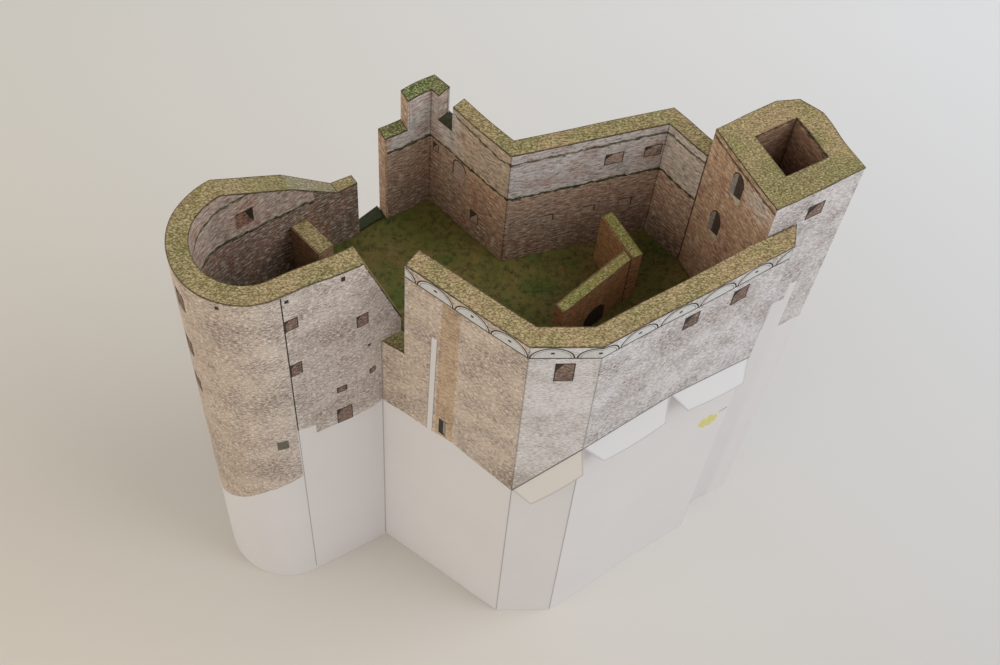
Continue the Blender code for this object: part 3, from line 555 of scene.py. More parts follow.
# %% Say where the card leans
STILL = (0.0, 0.0)
LEANS = (
    (corner, STILL, (-0.4, -0.1)),
    (corner + step(SILL_LENGTH, LEFT_BEARING - 180), (0.3, 0.4), (-0.2, -0.2)),
    (left_fold, (-0.3, 0.3), (0.4, -0.8)),
    (right_fold, (-0.4, 0.3), (0.5, -0.8)),
    (right_end, (-0.1, -0.3), (-1.0, -0.4)),
    (front_foot, (-0.4, -0.2), (0.9, 1.4)),
    (tower[0], STILL, STILL),
    (tower[1], (0.0, 0.3), (-0.9, 0.1)),
    (tower[2], (0.6, 0.4), STILL),
    (tower[5], (0.4, -0.2), STILL),
    *[(tower_at(*place), STILL, STILL) for place in SHAFT],
    (back_outer[1], (0.6, 0.0), STILL),
    (back_outer[2], (0.0, -0.4), STILL),
    (back_outer[3], (0.0, 0.3), STILL),
    (back_outer[4], (0.3, -0.5), STILL),
    (round_end, (0.35, 0.1), STILL),
    (round_knee, (0.4, 0.1), STILL),
    (round_back, (1.3, 0.1), STILL),
    (round_centre + step(ROUND, 180), (0.8, -0.2), STILL),
    (round_centre + step(ROUND, 250), (0.6, -0.2), STILL),
    (seam, (0.2, -0.3), STILL),
    (seam + flat_run * FLAT_TOP, (0.6, -1.0), STILL),
)


def lean(points):
    """Shifts points in metres: each listed corner counts by one over the square of its squared
    distance, and the shift runs evenly from the foot to the top of the wall."""
    spots = np.array([row[0] for row in LEANS])
    tops, feet = (np.array([row[column] for row in LEANS]) for column in (1, 2))
    away = ((points[:, None, :2] / MM - spots[None]) ** 2).sum(-1)
    share = 1 / (away + 9) ** 2
    share /= share.sum(1)[:, None]
    rise = (points[:, 2:] / MM / WALL_TOP).clip(0, 1.1)
    moved = points.copy()
    moved[:, :2] += MM * ((share @ feet) * (1 - rise) + (share @ tops) * rise)
    return moved


print("most lean", round(max(math.hypot(*move) for row in LEANS for move in row[1:]), 1), "mm")

# %% [markdown]
# ## The plan, unfolded
# A folded sheet is easiest to think of flat: so many millimetres along it and so many up. A line
# of corners on the plan carries that flat sheet round the model. The visible side is always on
# the right hand of the line. Averaging each place with its neighbours rounds the folds.


# %% Walk along folded sheets
CARD = 0.5
FOLD_ROUND = 0.3
JUMP = 0.005
SHEET_STEP = 0.9


def lengths_along(corners):
    """Distance from the first corner to each one."""
    return np.concatenate([[0], np.cumsum(np.linalg.norm(np.diff(corners, axis=0), axis=1))])


def behind(corners, depth):
    """Moves a line of corners to its left: each corner along the sum of its two normals,
    divided by one plus their product."""
    corners = np.array(corners, float)
    run = np.diff(corners, axis=0)
    run /= np.linalg.norm(run, axis=1)[:, None]
    left = np.stack([-run[:, 1], run[:, 0]], 1)
    bisect = (left[:-1] + left[1:]) / (1 + (left[:-1] * left[1:]).sum(1))[:, None]
    return corners + depth * np.concatenate([left[:1], bisect, left[-1:]])


class Sheet:
    """A flat sheet led round a line of corners."""

    def __init__(self, corners, rounding=FOLD_ROUND):
        self.corners = np.array(corners, float)
        self.folds = lengths_along(self.corners)
        self.rounding = rounding

    @property
    def length(self):
        return self.folds[-1]

    def on(self, along, up, lift=0.0):
        """Points in metres at places along and up the sheet, lifted off its visible side.
        Each plan point is the mean of nine places within the rounding of the fold."""
        line = behind(self.corners, -lift)
        along, up = np.broadcast_arrays(np.asarray(along, float), np.asarray(up, float))
        ends = np.minimum(along, self.length - along)
        reach = np.minimum(self.rounding, np.maximum(ends, 0))
        spread = along[..., None] + reach[..., None] * np.linspace(-1, 1, 9)
        x, y = (np.interp(spread, self.folds, line[:, axis]).mean(-1) for axis in (0, 1))
        return np.stack([x, y, up], -1) * MM

    def plan(self, along):
        """One plan point in millimetres."""
        return self.on(np.array([along]), 0)[0, :2] / MM

    def stations(self, extra=()):
        """Places along the sheet: evenly spaced, close together at sharp folds, and at extras."""
        run = np.diff(self.corners, axis=0)
        heading = np.arctan2(run[:, 1], run[:, 0])
        turn = np.abs((np.diff(heading) + np.pi) % (2 * np.pi) - np.pi)
        sharp = self.folds[1:-1][turn > 0.15]
        near = sharp[:, None] + self.rounding * np.linspace(-1.2, 1.2, 9)
        even = np.linspace(0, self.length, max(2, int(self.length / SHEET_STEP)))
        places = np.concatenate([even, near.ravel(), self.folds, np.asarray(extra, float)])
        places = np.unique(np.round(places[(places >= 0) & (places <= self.length)], 4))
        keep = np.concatenate([[True], np.diff(places) > 0.004])
        return places[keep], sharp


print("a sheet turned by a square corner:", behind([(0, 0), (1, 0), (1, 1)], 0.1).round(2).tolist())

# %% [markdown]
# ## From grids to a mesh
# Every piece is a few grids of points. One function turns them into quads, writes the print map
# and the marks, welds the seams and hands the piece to the frame.

# %% Turn grids into pieces
MARKS = ("warm_print_and_painted_light", "stain", "fold_shade", "edge", "moss", "over_low_ledge", "over_high_ledge")
EDGES = (
    (np.s_[:, -1:], 1, (0, 1), False),
    (np.s_[:, :1], 1, (0, 1), True),
    (np.s_[:1], 0, (1, 0), False),
    (np.s_[-1:], 0, (0, 1), False),
)


def grid_faces(rows, columns, first, flip):
    """Corner numbers of the quads of a grid, counted from its first vertex."""
    index = first + np.arange(rows * columns).reshape(rows, columns)
    quads = np.stack([index[:-1, :-1], index[1:, :-1], index[1:, 1:], index[:-1, 1:]], -1)
    quads = quads.reshape(-1, 4)
    return quads[:, ::-1] if flip else quads


def new_piece(name, grids, finishes, replaces=(), slot=None, leans=True):
    """Builds one mesh from grids: each has points in metres and a print place, and may have
    marks, finish numbers and a flipped side."""
    points, quads, places, finish = [], [], [], []
    marks = {mark: [] for mark in MARKS}
    count = 0
    for grid in grids:
        rows, columns = grid["points"].shape[:2]
        points.append(grid["points"].reshape(-1, 3))
        places.append(np.broadcast_to(grid["place"], (rows, columns, 2)).reshape(-1, 2))
        quads.append(grid_faces(rows, columns, count, grid.get("flip", False)))
        finish.append(np.broadcast_to(grid.get("finish", 0), (rows - 1, columns - 1)).ravel())
        for mark in MARKS:
            marks[mark].append(np.broadcast_to(grid.get(mark, 0.0), (rows, columns)).ravel())
        count += rows * columns
    points, quads = np.concatenate(points), np.concatenate(quads)
    mesh = bpy.data.meshes.new(name)
    mesh.from_pydata((lean(points) if leans else points).tolist(), [], quads.tolist())
    mesh.polygons.foreach_set("material_index", np.concatenate(finish).astype(np.int32))
    layer = mesh.uv_layers.new(name="print")
    layer.uv.foreach_set("vector", np.concatenate(places)[quads.ravel()].astype(np.float32).ravel())
    for mark, values in marks.items():
        values = np.concatenate(values)
        if values.any():
            store = mesh.attributes.new(mark, "FLOAT", "POINT")
            store.data.foreach_set("value", values.astype(np.float32))
    weld = bmesh.new()
    weld.from_mesh(mesh)
    bmesh.ops.remove_doubles(weld, verts=weld.verts, dist=2e-7)
    weld.to_mesh(mesh)
    weld.free()
    mesh.shade_smooth()
    mesh.set_sharp_from_angle(angle=math.radians(50))
    for material in finishes:
        mesh.materials.append(material)
    piece = bpy.data.objects.new(name, mesh)
    bpy.context.scene.collection.objects.link(piece)
    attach(piece, "root")
    if replaces:
        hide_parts(*replaces)
    return piece


def shell_grids(front, back, place, finish, inside, **marks):
    """Closes a sheet: its visible side, its back, and four cut edges in the finish beside them."""
    shape = front.shape[:2]
    finish = np.broadcast_to(finish, (shape[0] - 1, shape[1] - 1))
    marks = {mark: np.broadcast_to(value, shape) for mark, value in marks.items()}
    grids = [
        dict(points=front, place=place, finish=finish, **marks),
        dict(points=back, place=place, finish=inside, flip=True),
    ]
    for side, axis, order, flip in EDGES:
        pair = (front[side], back[side])
        points = np.concatenate([pair[first] for first in order], axis)
        beside = {mark: value[side] for mark, value in marks.items()}
        grids.append(dict(points=points, place=place[side], finish=finish[side], flip=flip, **beside))
    return grids


def levels(table, along):
    """A height for each place along a sheet, from a table of places and heights. Past its last
    row a table holds that height."""
    table = np.array(table, float)
    return np.interp(along, table[:, 0], table[:, 1])


def jump(at, before, after):
    """Two rows of such a table, for a height that jumps."""
    return [(at - JUMP, before), (at + JUMP, after)]


def card_sheet(name, sheet, low, high, edge, printed, warm_print_and_painted_light=((0, 0),), stains=(), ledges=(), **how):
    """A standing sheet: bare card from its foot to the print's edge, print above that."""
    tables = [low, high, warm_print_and_painted_light, edge or (), *ledges]
    along, sharp = sheet.stations([row[0] for table in tables for row in table])
    foot, top = levels(low, along), levels(high, along)
    bands = [(foot, top, 0)]
    if edge:
        line = np.clip(levels(edge, along), foot + 0.02, top - 0.02)
        bands = [(foot, line, 1), (line, top, 0)]
    heights, finish = [foot[:, None]], []
    for start, end, number in bands:
        rows = max(2, int((end - start).max() / 3))
        share = np.linspace(0, 1, rows + 1)[1:]
        heights.append(start[:, None] + (end - start)[:, None] * share)
        finish += [number] * rows
    up = np.concatenate(heights, 1)
    wide = np.broadcast_to(along[:, None], up.shape)
    # The mark for warmer faces: partly the print's tint, partly painted light, face by face.
    marks = {"warm_print_and_painted_light": levels(warm_print_and_painted_light, along)[:, None], "stain": np.zeros(up.shape)}
    for spot_along, spot_up, reach, tall, strength in stains:
        far = ((wide - spot_along) / reach) ** 2 + ((up - spot_up) / tall) ** 2
        marks["stain"] = marks["stain"] + strength * np.exp(-far)
    marks["stain"] = marks["stain"].clip(0, 0.85)
    # Painted shade along the sharp folds.
    if len(sharp):
        marks["fold_shade"] = np.exp(-((np.abs(along[:, None] - sharp).min(1) / 0.16) ** 2))[:, None]
    for mark, table in zip(("over_low_ledge", "over_high_ledge"), ledges):
        marks[mark] = up - levels(table, along)[:, None]
    front, back = sheet.on(wide, up), sheet.on(wide, up, -CARD)
    grids = shell_grids(front, back, np.stack([wide, up], -1), np.array(finish), 1, **marks)
    return new_piece(name, grids, [printed, white_card], **how)


print("helpers ready, card", CARD, "mm thick")

# %% [markdown]
# ## The outer sheets
# Four sheets make the outside: the front with its two folds and the broken sill, the flat wall
# that breaks off in a slope, the round tower with its straight back, and the plain back. The
# print stops at a different height on each, and white card goes on down to the table.

# %% Fold the outer sheets
CAP_ROOM = 0.35
UNDER_CAP = WALL_TOP - CAP_ROOM
SHEET_END = 200
front_sheet = Sheet([corner, left_fold, right_fold, right_end, front_foot])
front_folds = front_sheet.folds
PRINT_EDGE = (
    (0, 76.3), (11.7, 76.3), (17.9, 77.5), (26.7, 75.8), (front_folds[1], 74.1), (front_folds[2], 94.2),
    (front_folds[2] + 21.8, 96.2), (front_folds[3], 92.9), (front_folds[4], 92.9),
)
card_sheet(
    "front_sheet",
    front_sheet,
    [(0, 0)],
    [(0, SILL - CAP_ROOM), *jump(SILL_LENGTH, SILL - CAP_ROOM, UNDER_CAP)],
    PRINT_EDGE,
    outer_print,
    # Painted light: warmer on the left face, and painted paler on the middle face.
    warm_print_and_painted_light=[(0, 0.9), *jump(front_folds[1], 0.8, -0.45), *jump(front_folds[2], -0.45, 0)],
    stains=[
        (33, 75, 8, 6, 0.75), (38, 82, 8, 5, 0.45), (44, 103, 8, 5, 0.12), (3, 80, 8, 4, 0.4),
        (28, 118, 6, 6, 0.15), (60, 113, 7, 5, 0.3), (72, 122, 5, 4, 0.35), (84, 124, 4, 4, 0.35),
        (56, 101, 6, 4, 0.25),
    ],
    replaces=["front_left_wall", "front_middle_wall", "front_right_wall"],
    slot="outer_print",
)
flat_sheet = Sheet([seam, seam + flat_run * FLAT_REACH])
card_sheet(
    "flat_wall_sheet",
    flat_sheet,
    [(0, 0), *jump(FLAT_LENGTH, 0, SILL + 0.1), (FLAT_REACH, SILL + 0.1)],
    [(0, UNDER_CAP), (FLAT_TOP, UNDER_CAP), (FLAT_REACH, SLOPE_FOOT - 0.4)],
    [(0, 81.3), (4.39, 80.0), (4.41, 76.1), (FLAT_REACH, 77.0)],
    outer_print,
    warm_print_and_painted_light=[(0, 0.45), (FLAT_REACH, 0.4)],
    stains=[
        (14, 105, 20, 30, 0.26), (16, 80, 9, 4, 0.3), (6, 116, 8, 5, 0.3), (8, 85, 5, 4, 0.3),
        (25, 106, 3, 4, 0.4),
    ],
    replaces=["flat_wall"],
    slot="outer_print",
)
round_sheet = Sheet(np.concatenate([[round_end, round_knee], arc(ROUND, *RING)]))
ring_start = round_sheet.folds[2]
STEP_SHARE = (31.3 - 26.5) / (31.3 - 16.0)


def at_bearing(bearing):
    """Place along the round sheet at a bearing from the tower's middle."""
    return ring_start + math.radians(bearing - RING[0]) * ROUND


card_sheet(
    "round_tower_sheet",
    round_sheet,
    [(0, 0)],
    [
        (0, ROUND_END_LEVEL - CAP_ROOM), (round_sheet.folds[1] * STEP_SHARE, ROUND_END_LEVEL - CAP_ROOM),
        (round_sheet.folds[1], KNEE_LEVEL - CAP_ROOM), (ring_start, UNDER_CAP),
    ],
    [
        (0, 34),
        (at_bearing(150), 29),
        (at_bearing(208.7), 37.3),
        (at_bearing(240), 46.0),
        (at_bearing(263.6), 53.0),
        (at_bearing(280), 56.0),
        (at_bearing(297.9), 58.4),
    ],
    outer_print,
    warm_print_and_painted_light=[(0, 0.3), (at_bearing(180), 0.95), (at_bearing(240), 0.9), (at_bearing(297), 0.6)],
    stains=[
        (at_bearing(235), 118, 6, 14, 0.2),
        (at_bearing(228), 62, 7, 18, 0.25),
        (at_bearing(262), 64, 8, 7, 0.3),
        (at_bearing(283), 100, 8, 8, 0.15),
        (at_bearing(160), 90, 10, 20, 0.2),
    ],
    replaces=["round_back_wall", *[f"round_wall_{number}" for number in range(1, 7)]],
    slot="outer_print",
)
back_sheet = Sheet([*back_outer, round_end])
back_folds = back_sheet.folds
NOTCH = (back_folds[2] + 13.88, back_folds[2] + 17.88)
FIN_STEP = back_folds[3] + 7.94
card_sheet(
    "back_sheet",
    back_sheet,
    [(0, 0)],
    [
        (0, UNDER_CAP),
        *jump(NOTCH[0], UNDER_CAP, NOTCH_LEVEL - CAP_ROOM),
        *jump(NOTCH[1], NOTCH_LEVEL - CAP_ROOM, UNDER_CAP),
        *jump(FIN_STEP, UNDER_CAP, FIN_STEP_LEVEL - CAP_ROOM),
        *jump(back_folds[4], FIN_STEP_LEVEL - CAP_ROOM, FLOOR + 0.6),
    ],
    [(0, 84), (back_folds[1], 80), (back_folds[2], 70), (back_folds[3], 76), (SHEET_END, 66)],
    outer_print,
    warm_print_and_painted_light=[(0, 0.3), (40, 0.5), (SHEET_END, 0.3)],
    stains=[(20, 95, 10, 9, 0.35), (45, 110, 9, 12, 0.25), (60, 84, 8, 8, 0.35)],
    replaces=["back_right_wall", "back_middle_wall", "back_left_wall", "fin_wall", "threshold_wall"],
    slot="outer_print",
)
print("outer sheets are", [round(s.length) for s in (front_sheet, flat_sheet, round_sheet, back_sheet)])

# %% [markdown]
# ## The inner sheets
# Inside, one sheet lines the round tower, one the back of the courtyard and one the front walls.
# They stand on the floor, so they start at its level. Two tables give the heights of the mossy
# ledges along each of them.

# %% Fold the inner sheets
NO_LEDGE = 145
yard_sheet = Sheet(back_inner[::-1])
yard_folds = yard_sheet.folds
FIN_STEP_INSIDE = 5.3
NOTCH_INSIDE = (yard_folds[1] + 2.1, yard_folds[1] + 6.1)
yard_ledges = (
    [
        (0, 121.9), (yard_folds[1], 121.6), (yard_folds[2], 121.3), (yard_folds[3], 121.4),
        (SHEET_END, 121.9),
    ],
    [
        (0, NO_LEDGE),
        *jump(yard_folds[1] + 7.0, NO_LEDGE, 134.4),
        (yard_folds[2] - 3, 132.6),
        (yard_folds[2], 133.2),
        (yard_folds[3], 133.6),
        (SHEET_END, 134.5),
    ],
)
card_sheet(
    "yard_back_sheet",
    yard_sheet,
    [(0, FLOOR)],
    [
        (0, FIN_STEP_LEVEL - CAP_ROOM),
        *jump(FIN_STEP_INSIDE, FIN_STEP_LEVEL - CAP_ROOM, UNDER_CAP),
        *jump(NOTCH_INSIDE[0], UNDER_CAP, NOTCH_LEVEL - CAP_ROOM),
        *jump(NOTCH_INSIDE[1], NOTCH_LEVEL - CAP_ROOM, UNDER_CAP),
    ],
    None,
    yard_print,
    warm_print_and_painted_light=[
        (0, 0.1),
        *jump(yard_folds[1], 0.1, 0.3),
        (NOTCH_INSIDE[1], 0.4),
        (NOTCH_INSIDE[1] + 4, 0.95),
        *jump(yard_folds[2], 0.9, 0.0),
        *jump(yard_folds[3], 0.1, 0.5),
        (SHEET_END, 0.8),
    ],
    ledges=yard_ledges,
    slot="inner_print",
)
front_line = [seam, corner, left_fold, right_fold, right_end]
corner_inner, left_inner, right_inner = behind(front_line, FRONT_THICK)[1:4]
tower_inner = meet(right_inner, step(1, RIGHT_BEARING), front_foot, step(1, TOWER_BEARING))
front_inner_sheet = Sheet([tower_at(0.5, -0.3), tower_inner, right_inner, left_inner, corner_inner])
inner_folds = front_inner_sheet.folds
sill_inside = front_inner_sheet.length - SILL_LENGTH - (corner_inner - corner) @ step(1, LEFT_BEARING)
card_sheet(
    "yard_front_sheet",
    front_inner_sheet,
    [(0, FLOOR)],
    [(0, UNDER_CAP), *jump(sill_inside, UNDER_CAP, SILL - CAP_ROOM)],
    None,
    yard_print,
    warm_print_and_painted_light=[(0, 0.2), (inner_folds[2], 0.5), (inner_folds[3], 0.7), (SHEET_END, 0.4)],
    ledges=([(0, 121.5)], [(0, 133.6)]),
    slot="inner_print",
)
flat_inner_end = seam + flat_run * FLAT_REACH + flat_in
round_inner_sheet = Sheet([flat_inner_end, *arc(ROUND - FRONT_THICK, *RING[::-1]), round_inner_end])
lining = round_inner_sheet.length
lining_ring = lining - 31.3


def on_lining(bearing):
    """Place along the round tower's lining at a bearing from the tower's middle."""
    return lining_ring - math.radians(bearing - RING[0]) * (ROUND - FRONT_THICK)


round_ledges = (
    [(0, 119.6), (lining_ring, 120.5), (lining - 10.5, 118.7), (lining - 10.4, NO_LEDGE)],
    [(on_lining(170), 129.6), (on_lining(150), 131.0), (on_lining(133), 131.8), (lining_ring + 3, 132.5)],
)
card_sheet(
    "round_inner_sheet",
    round_inner_sheet,
    [(0, SILL + 0.1), *jump(1.5, SILL + 0.1, FLOOR)],
    [
        (0, SLOPE_FOOT - 0.4), (FLAT_REACH - FLAT_TOP, UNDER_CAP), (lining_ring, UNDER_CAP),
        (lining - 15.3, KNEE_LEVEL - CAP_ROOM), (lining - 4.8, ROUND_END_LEVEL - CAP_ROOM),
        (lining, ROUND_END_LEVEL - CAP_ROOM),
    ],
    None,
    round_print,
    warm_print_and_painted_light=jump(lining - 10.4, 0, 1),
    ledges=round_ledges,
    slot="inner_print",
)
print("inner sheets are", [round(s.length) for s in (yard_sheet, front_inner_sheet, round_inner_sheet)])

# %% [markdown]
# ## The square tower
# Its outer print is one folded sheet; the side towards the courtyard is orange-brown masonry.

# %% Fold the square tower
PLAIN = ([(0, 90)], [(0, 160)])
UNDER_TOP = TOWER_TOP - CAP_ROOM
TOWER_STAND = FLOOR + 0.3
tower_sheet = Sheet(tower)
tower_folds = tower_sheet.folds
skirt_end = tower_folds[5] - np.linalg.norm(back_outer[0] - tower[5]) - 0.3
card_sheet(
    "tower_sheet",
    tower_sheet,
    [(0, TOWER_STAND), *jump(7.7, TOWER_STAND, 0), *jump(skirt_end, 0, TOWER_STAND)],
    [(0, UNDER_TOP)],
    [
        (0, 92.8),
        *jump(9.5, 92.8, 103.7),
        *jump(12.5, 103.7, 109.6),
        *jump(14.4, 109.6, 90.5),
        (tower_folds[1], 90.5),
        (tower_folds[2], 88),
        (SHEET_END, 84),
    ],
    outer_print,
    warm_print_and_painted_light=[(0, 0), (20, 0.05), (30, 0.2), (60, 0.3)],
    stains=[(10, 130, 5, 4, 0.15), (17, 100, 4, 6, 0.2), (28, 112, 6, 10, 0.25), (50, 120, 8, 10, 0.3)],
    replaces=["tower_front", "tower_right", "tower_corner", "tower_back"],
    slot="outer_print",
)
tower_side_sheet = Sheet([tower[5], tower[0]])
card_sheet(
    "tower_yard_sheet",
    tower_side_sheet,
    [(0, TOWER_STAND)],
    [(0, UNDER_TOP)],
    None,
    tower_print,
    stains=[(16, 140.5, 4.2, 2.8, 0.75), (20, 140.5, 3, 2.8, 0.4)],
    ledges=([(0, 90)], [(0, UNDER_TOP - 1.5)]),
    replaces=["tower_left"],
    slot="inner_print",
)
print("square tower is", round(tower_sheet.length + tower_side_sheet.length), "mm round")

# %% [markdown]
# ## End faces
# Where a wall is broken off, a narrow strip of card closes it: at the sill, the notch, the
# step of the fin and the free ends.

# %% Close the broken ends
END_PROUD = 0.03


def end_face(name, start, end, low, high, finish):
    """A narrow upright strip between two plan points, just proud of the cut edges it hides."""
    strip = Sheet(behind([start, end], -END_PROUD))
    tops = [(0, high - CAP_ROOM)]
    card_sheet(name, strip, [(0, low)], tops, None, finish, ledges=PLAIN, slot="outer_print")


def both_faces(sheet, along, depth):
    """The plan points on a sheet and squarely behind it at one place along."""
    run = sheet.plan(along + 0.2) - sheet.plan(along - 0.2)
    inward = np.array((-run[1], run[0])) / np.linalg.norm(run)
    return sheet.plan(along), sheet.plan(along) + depth * inward


front_start, front_start_in = both_faces(front_sheet, SILL_LENGTH, FRONT_THICK)
end_face("sill_end_face", front_start_in, front_start, SILL, WALL_TOP, outer_print)
notch_near, notch_near_in = both_faces(back_sheet, NOTCH[0], FIN_THICK)
end_face("notch_right_face", notch_near, notch_near_in, NOTCH_LEVEL, WALL_TOP, yard_print)
notch_far, notch_far_in = both_faces(back_sheet, NOTCH[1], FIN_THICK)
end_face("notch_left_face", notch_far_in, notch_far, NOTCH_LEVEL, WALL_TOP, round_print)
fin_step_out, fin_step_in = both_faces(back_sheet, FIN_STEP, FIN_THICK)
end_face("fin_step_face", fin_step_out, fin_step_in, FIN_STEP_LEVEL, WALL_TOP, tower_print)
end_face("fin_end_face", back_outer[4], back_inner[4], FLOOR, FIN_STEP_LEVEL, tower_print)
end_face("round_end_face", round_inner_end, round_end, FLOOR, ROUND_END_LEVEL, round_print)
print("end faces closed")

# %% [markdown]
# ## Caps
# The caps are strips of printed card. Each is a ruled surface between its right and its left
# edge, a fraction of a millimetre thick; a mark on its vertices tells the shader where to paint
# shade as a dark line on and along the cut edges.

# %% Lay the caps
CAP = 0.3


def lifted(line, heights):
    """Adds heights to plan points."""
    return np.concatenate([np.array(line, float), np.broadcast_to(heights, (len(line),))[:, None]], 1)


def cap_strip(
    name, right, left, up, finish, replaces=(), moss=((0, 0),), thick=CAP, leans=True, cut_ends=True
):
    """A ruled strip: straight lines from the right edge to the left one, both at heights up."""
    right, left = lifted(right, up), lifted(left, up)
    folds = lengths_along(right)
    even = np.linspace(0, folds[-1], max(4, int(folds[-1] / 1.2)))
    along = np.concatenate([even, folds, [0.1, 0.2], folds[-1] - np.array([0.2, 0.1])])
    along = np.unique(np.round(along, 3))
    start, end = (
        np.stack([np.interp(along, folds, line[:, axis]) for axis in range(3)], 1) for line in (right, left)
    )
    width = np.linalg.norm(end - start, axis=1)
    share = np.array((0, 0.03, 0.06, 0.12, 0.3, 0.5, 0.7, 0.88, 0.94, 0.97, 1))
    top = start[:, None] + (end - start)[:, None] * share[None, :, None]
    across = width[:, None] * share
    wide = np.broadcast_to(along[:, None], across.shape)
    ends = np.minimum(along, folds[-1] - along)[:, None] + (0 if cut_ends else 1)
    inward = np.minimum(np.minimum(across, width[:, None] - across), ends)
    run = np.gradient(start, along, axis=0)
    normal = np.cross(run, end - start)
    normal /= np.linalg.norm(normal, axis=1)[:, None]
    below = top - thick * normal[:, None]
    # The edge mark paints shade on the cut edges and a thin line along them.
    marks = {"edge": (2 - inward / 0.1).clip(0, 1), "moss": levels(moss, along)[:, None]}
    grids = shell_grids(top * MM, below * MM, np.stack([wide, across], -1), 0, 1, **marks)
    return new_piece(name, grids, [finish, white_card], replaces=replaces, slot="cap_print", leans=leans)


TOP = WALL_TOP + 0.02
cap_strip(
    "front_cap",
    [front_start, left_fold, right_fold, right_end, front_foot],
    [front_start_in, left_inner, right_inner, tower_inner, tower_inner + (0.06, 0.03)],
    TOP,
    cap_print,
    ["front_wall_cap"],
)
flat_top = seam + flat_run * FLAT_TOP
cap_strip(
    "round_cap",
    [*arc(ROUND, *RING), flat_top],
    [*arc(ROUND - FRONT_THICK, *RING), flat_top + flat_in],
    TOP,
    cap_print,
    ["round_tower_cap"],
    moss=[(0, 0.3), (20, 0.35), (30, 0.1), (48, 0.1)],
    cut_ends=False,
)
step_outer = round_end + (round_knee - round_end) * STEP_SHARE
step_inner = round_back + back_run * 26.5 + back_in
cap_strip(
    "round_slope_cap",
    [round_knee, round_back],
    [round_knee + back_in, round_back + back_in],
    [KNEE_LEVEL, TOP],
    cap_print,
    ["round_back_cap"],
    moss=[(0, 0.5), (8, 0.2)],
    cut_ends=False,
)
cap_strip(
    "round_pale_cap",
    [step_outer, round_knee],
    [step_inner, round_knee + back_in],
    [ROUND_END_LEVEL, KNEE_LEVEL],
    slope_print,
    cut_ends=False,
)
cap_strip(
    "round_end_cap",
    [round_end, step_outer],
    [round_inner_end, step_inner],
    ROUND_END_LEVEL,
    cap_print,
)
SLOPE = ((FLAT_TOP, TOP), (FLAT_REACH + 0.3, SLOPE_FOOT), (FLAT_REACH + 0.3, SILL + 0.2))
slope_along, slope_up = np.array(SLOPE).T
slope_line = seam + flat_run * slope_along[:, None]
cap_strip(
    "slope_strip",
    slope_line,
    slope_line + flat_in,
    slope_up,
    cap_print,
    ["slope_cap"],
    moss=[(0, 0.2), (40, 0.6)],
)
cap_strip(
    "sill_strip",
    [corner, front_start],
    [corner_inner, front_start_in],
    SILL,
    cap_print,
    ["sill_cap"],
    moss=[(0, 0.7)],
)
cap_strip(
    "back_cap",
    [*back_outer[:3], notch_near],
    [*back_inner[:3], notch_near_in],
    TOP,
    cap_print,
    ["back_wall_cap"],
    moss=[(0, 0.1), (10, 0.25), (20, 0.45), (30, 0.3), (40, 0.1), (47, 0.6), (52, 0.1), (60, 0.2)],
)
cap_strip(
    "notch_strip",
    [notch_near, notch_far],
    [notch_near_in, notch_far_in],
    NOTCH_LEVEL,
    dark_turf,
    ["notch_cap"],
)
cap_strip(
    "fin_cap",
    [notch_far, back_outer[3], fin_step_out],
    [notch_far_in, back_inner[3], fin_step_in],
    TOP,
    mossy_print,
    ["fin_top_cap"],
    moss=[(0, 0.1), (4.5, 0.4), (6, 1.0), (20, 1.0)],
)
cap_strip(
    "fin_step_strip",
    [fin_step_out, back_outer[4]],
    [fin_step_in, back_inner[4]],
    FIN_STEP_LEVEL,
    mossy_print,
    ["fin_step_cap"],
    moss=[(0, 0.6), (9, 0.1)],
)
MOUTH = (*SHAFT[:2], (16, 13.0), SHAFT[2], (13.2, 16.3), SHAFT[3], SHAFT[0])
cap_strip(
    "tower_cap",
    [*tower, tower[0]],
    [tower_at(*place) for place in MOUTH],
    TOWER_TOP + 0.02,
    cap_print,
    ["tower_top"],
    moss=[(0, 0.6), (19, 0.6), (26, 0), (62, 0), (70, 0.3), (76, 0.6), (82, 0.6)],
    cut_ends=False,
)
print("caps laid")

# %% [markdown]
# ## Low walls and cross wall
# The low walls in the courtyard and the cross wall in the round tower are solid in the frame, so
# they only get thin printed strips on top.

# %% Cap the low walls
LOW_TOP = 115.1
CROSS_TOP = 114.1
LOW_THICK = 2.6
LONG_BEARING = 221.2
low_corner = tower_at(-13.7, 18.1)
low_side = step(LOW_THICK, TOWER_BEARING + 180)
low_near = low_corner + low_side + step(0.3, TOWER_BEARING + 180)
low_far = low_near + step(19.5, LONG_BEARING)
low_back = low_corner + step(12.2, TOWER_BEARING + 90)
low_across = step(LOW_THICK, LONG_BEARING - 90)
low_bend = meet(low_near, step(1, TOWER_BEARING + 90), low_far + low_across, step(1, LONG_BEARING))
cap_strip(
    "low_wall_long_strip",
    [low_far, low_near],
    [low_far + low_across, low_bend],
    LOW_TOP + 0.04,
    lime_print,
    thick=0.1,
    moss=[(0, 0.5), (20, 0.1)],
    leans=False,
)
cap_strip(
    "low_wall_short_strip",
    [low_corner, low_back],
    [low_corner + low_side, low_back + low_side],
    LOW_TOP + 0.04,
    lime_print,
    thick=0.1,
    moss=[(0, 0.3)],
    leans=False,
)
CROSS_BEARING = -48.9
cross_root = round_back + 15.2 * back_run + step(FRONT_THICK + 0.3, BACK_BEARING - 90)
cross_side = step(3.8, CROSS_BEARING + 90)
cross_tip = cross_root + step(9.2, CROSS_BEARING)
cross_far = meet(cross_root, back_run, cross_tip + cross_side, step(1, CROSS_BEARING))
cap_strip(
    "cross_wall_strip",
    [cross_root, cross_tip],
    [cross_far, cross_tip + cross_side],
    CROSS_TOP + 0.04,
    cap_print,
    thick=0.1,
    leans=False,
)
print("low walls capped")

# %% [markdown]
# ## Films of print
# Windows, holes and the frieze are printed on the card. Each drawn shape is a closed film a
# few hundredths of a millimetre proud of its sheet, spanned between a lower and an upper line.

# %% Helpers for drawn shapes
PROUD = 0.03
WINDOW_LINE = 0.2
LINE_STEP = 0.25


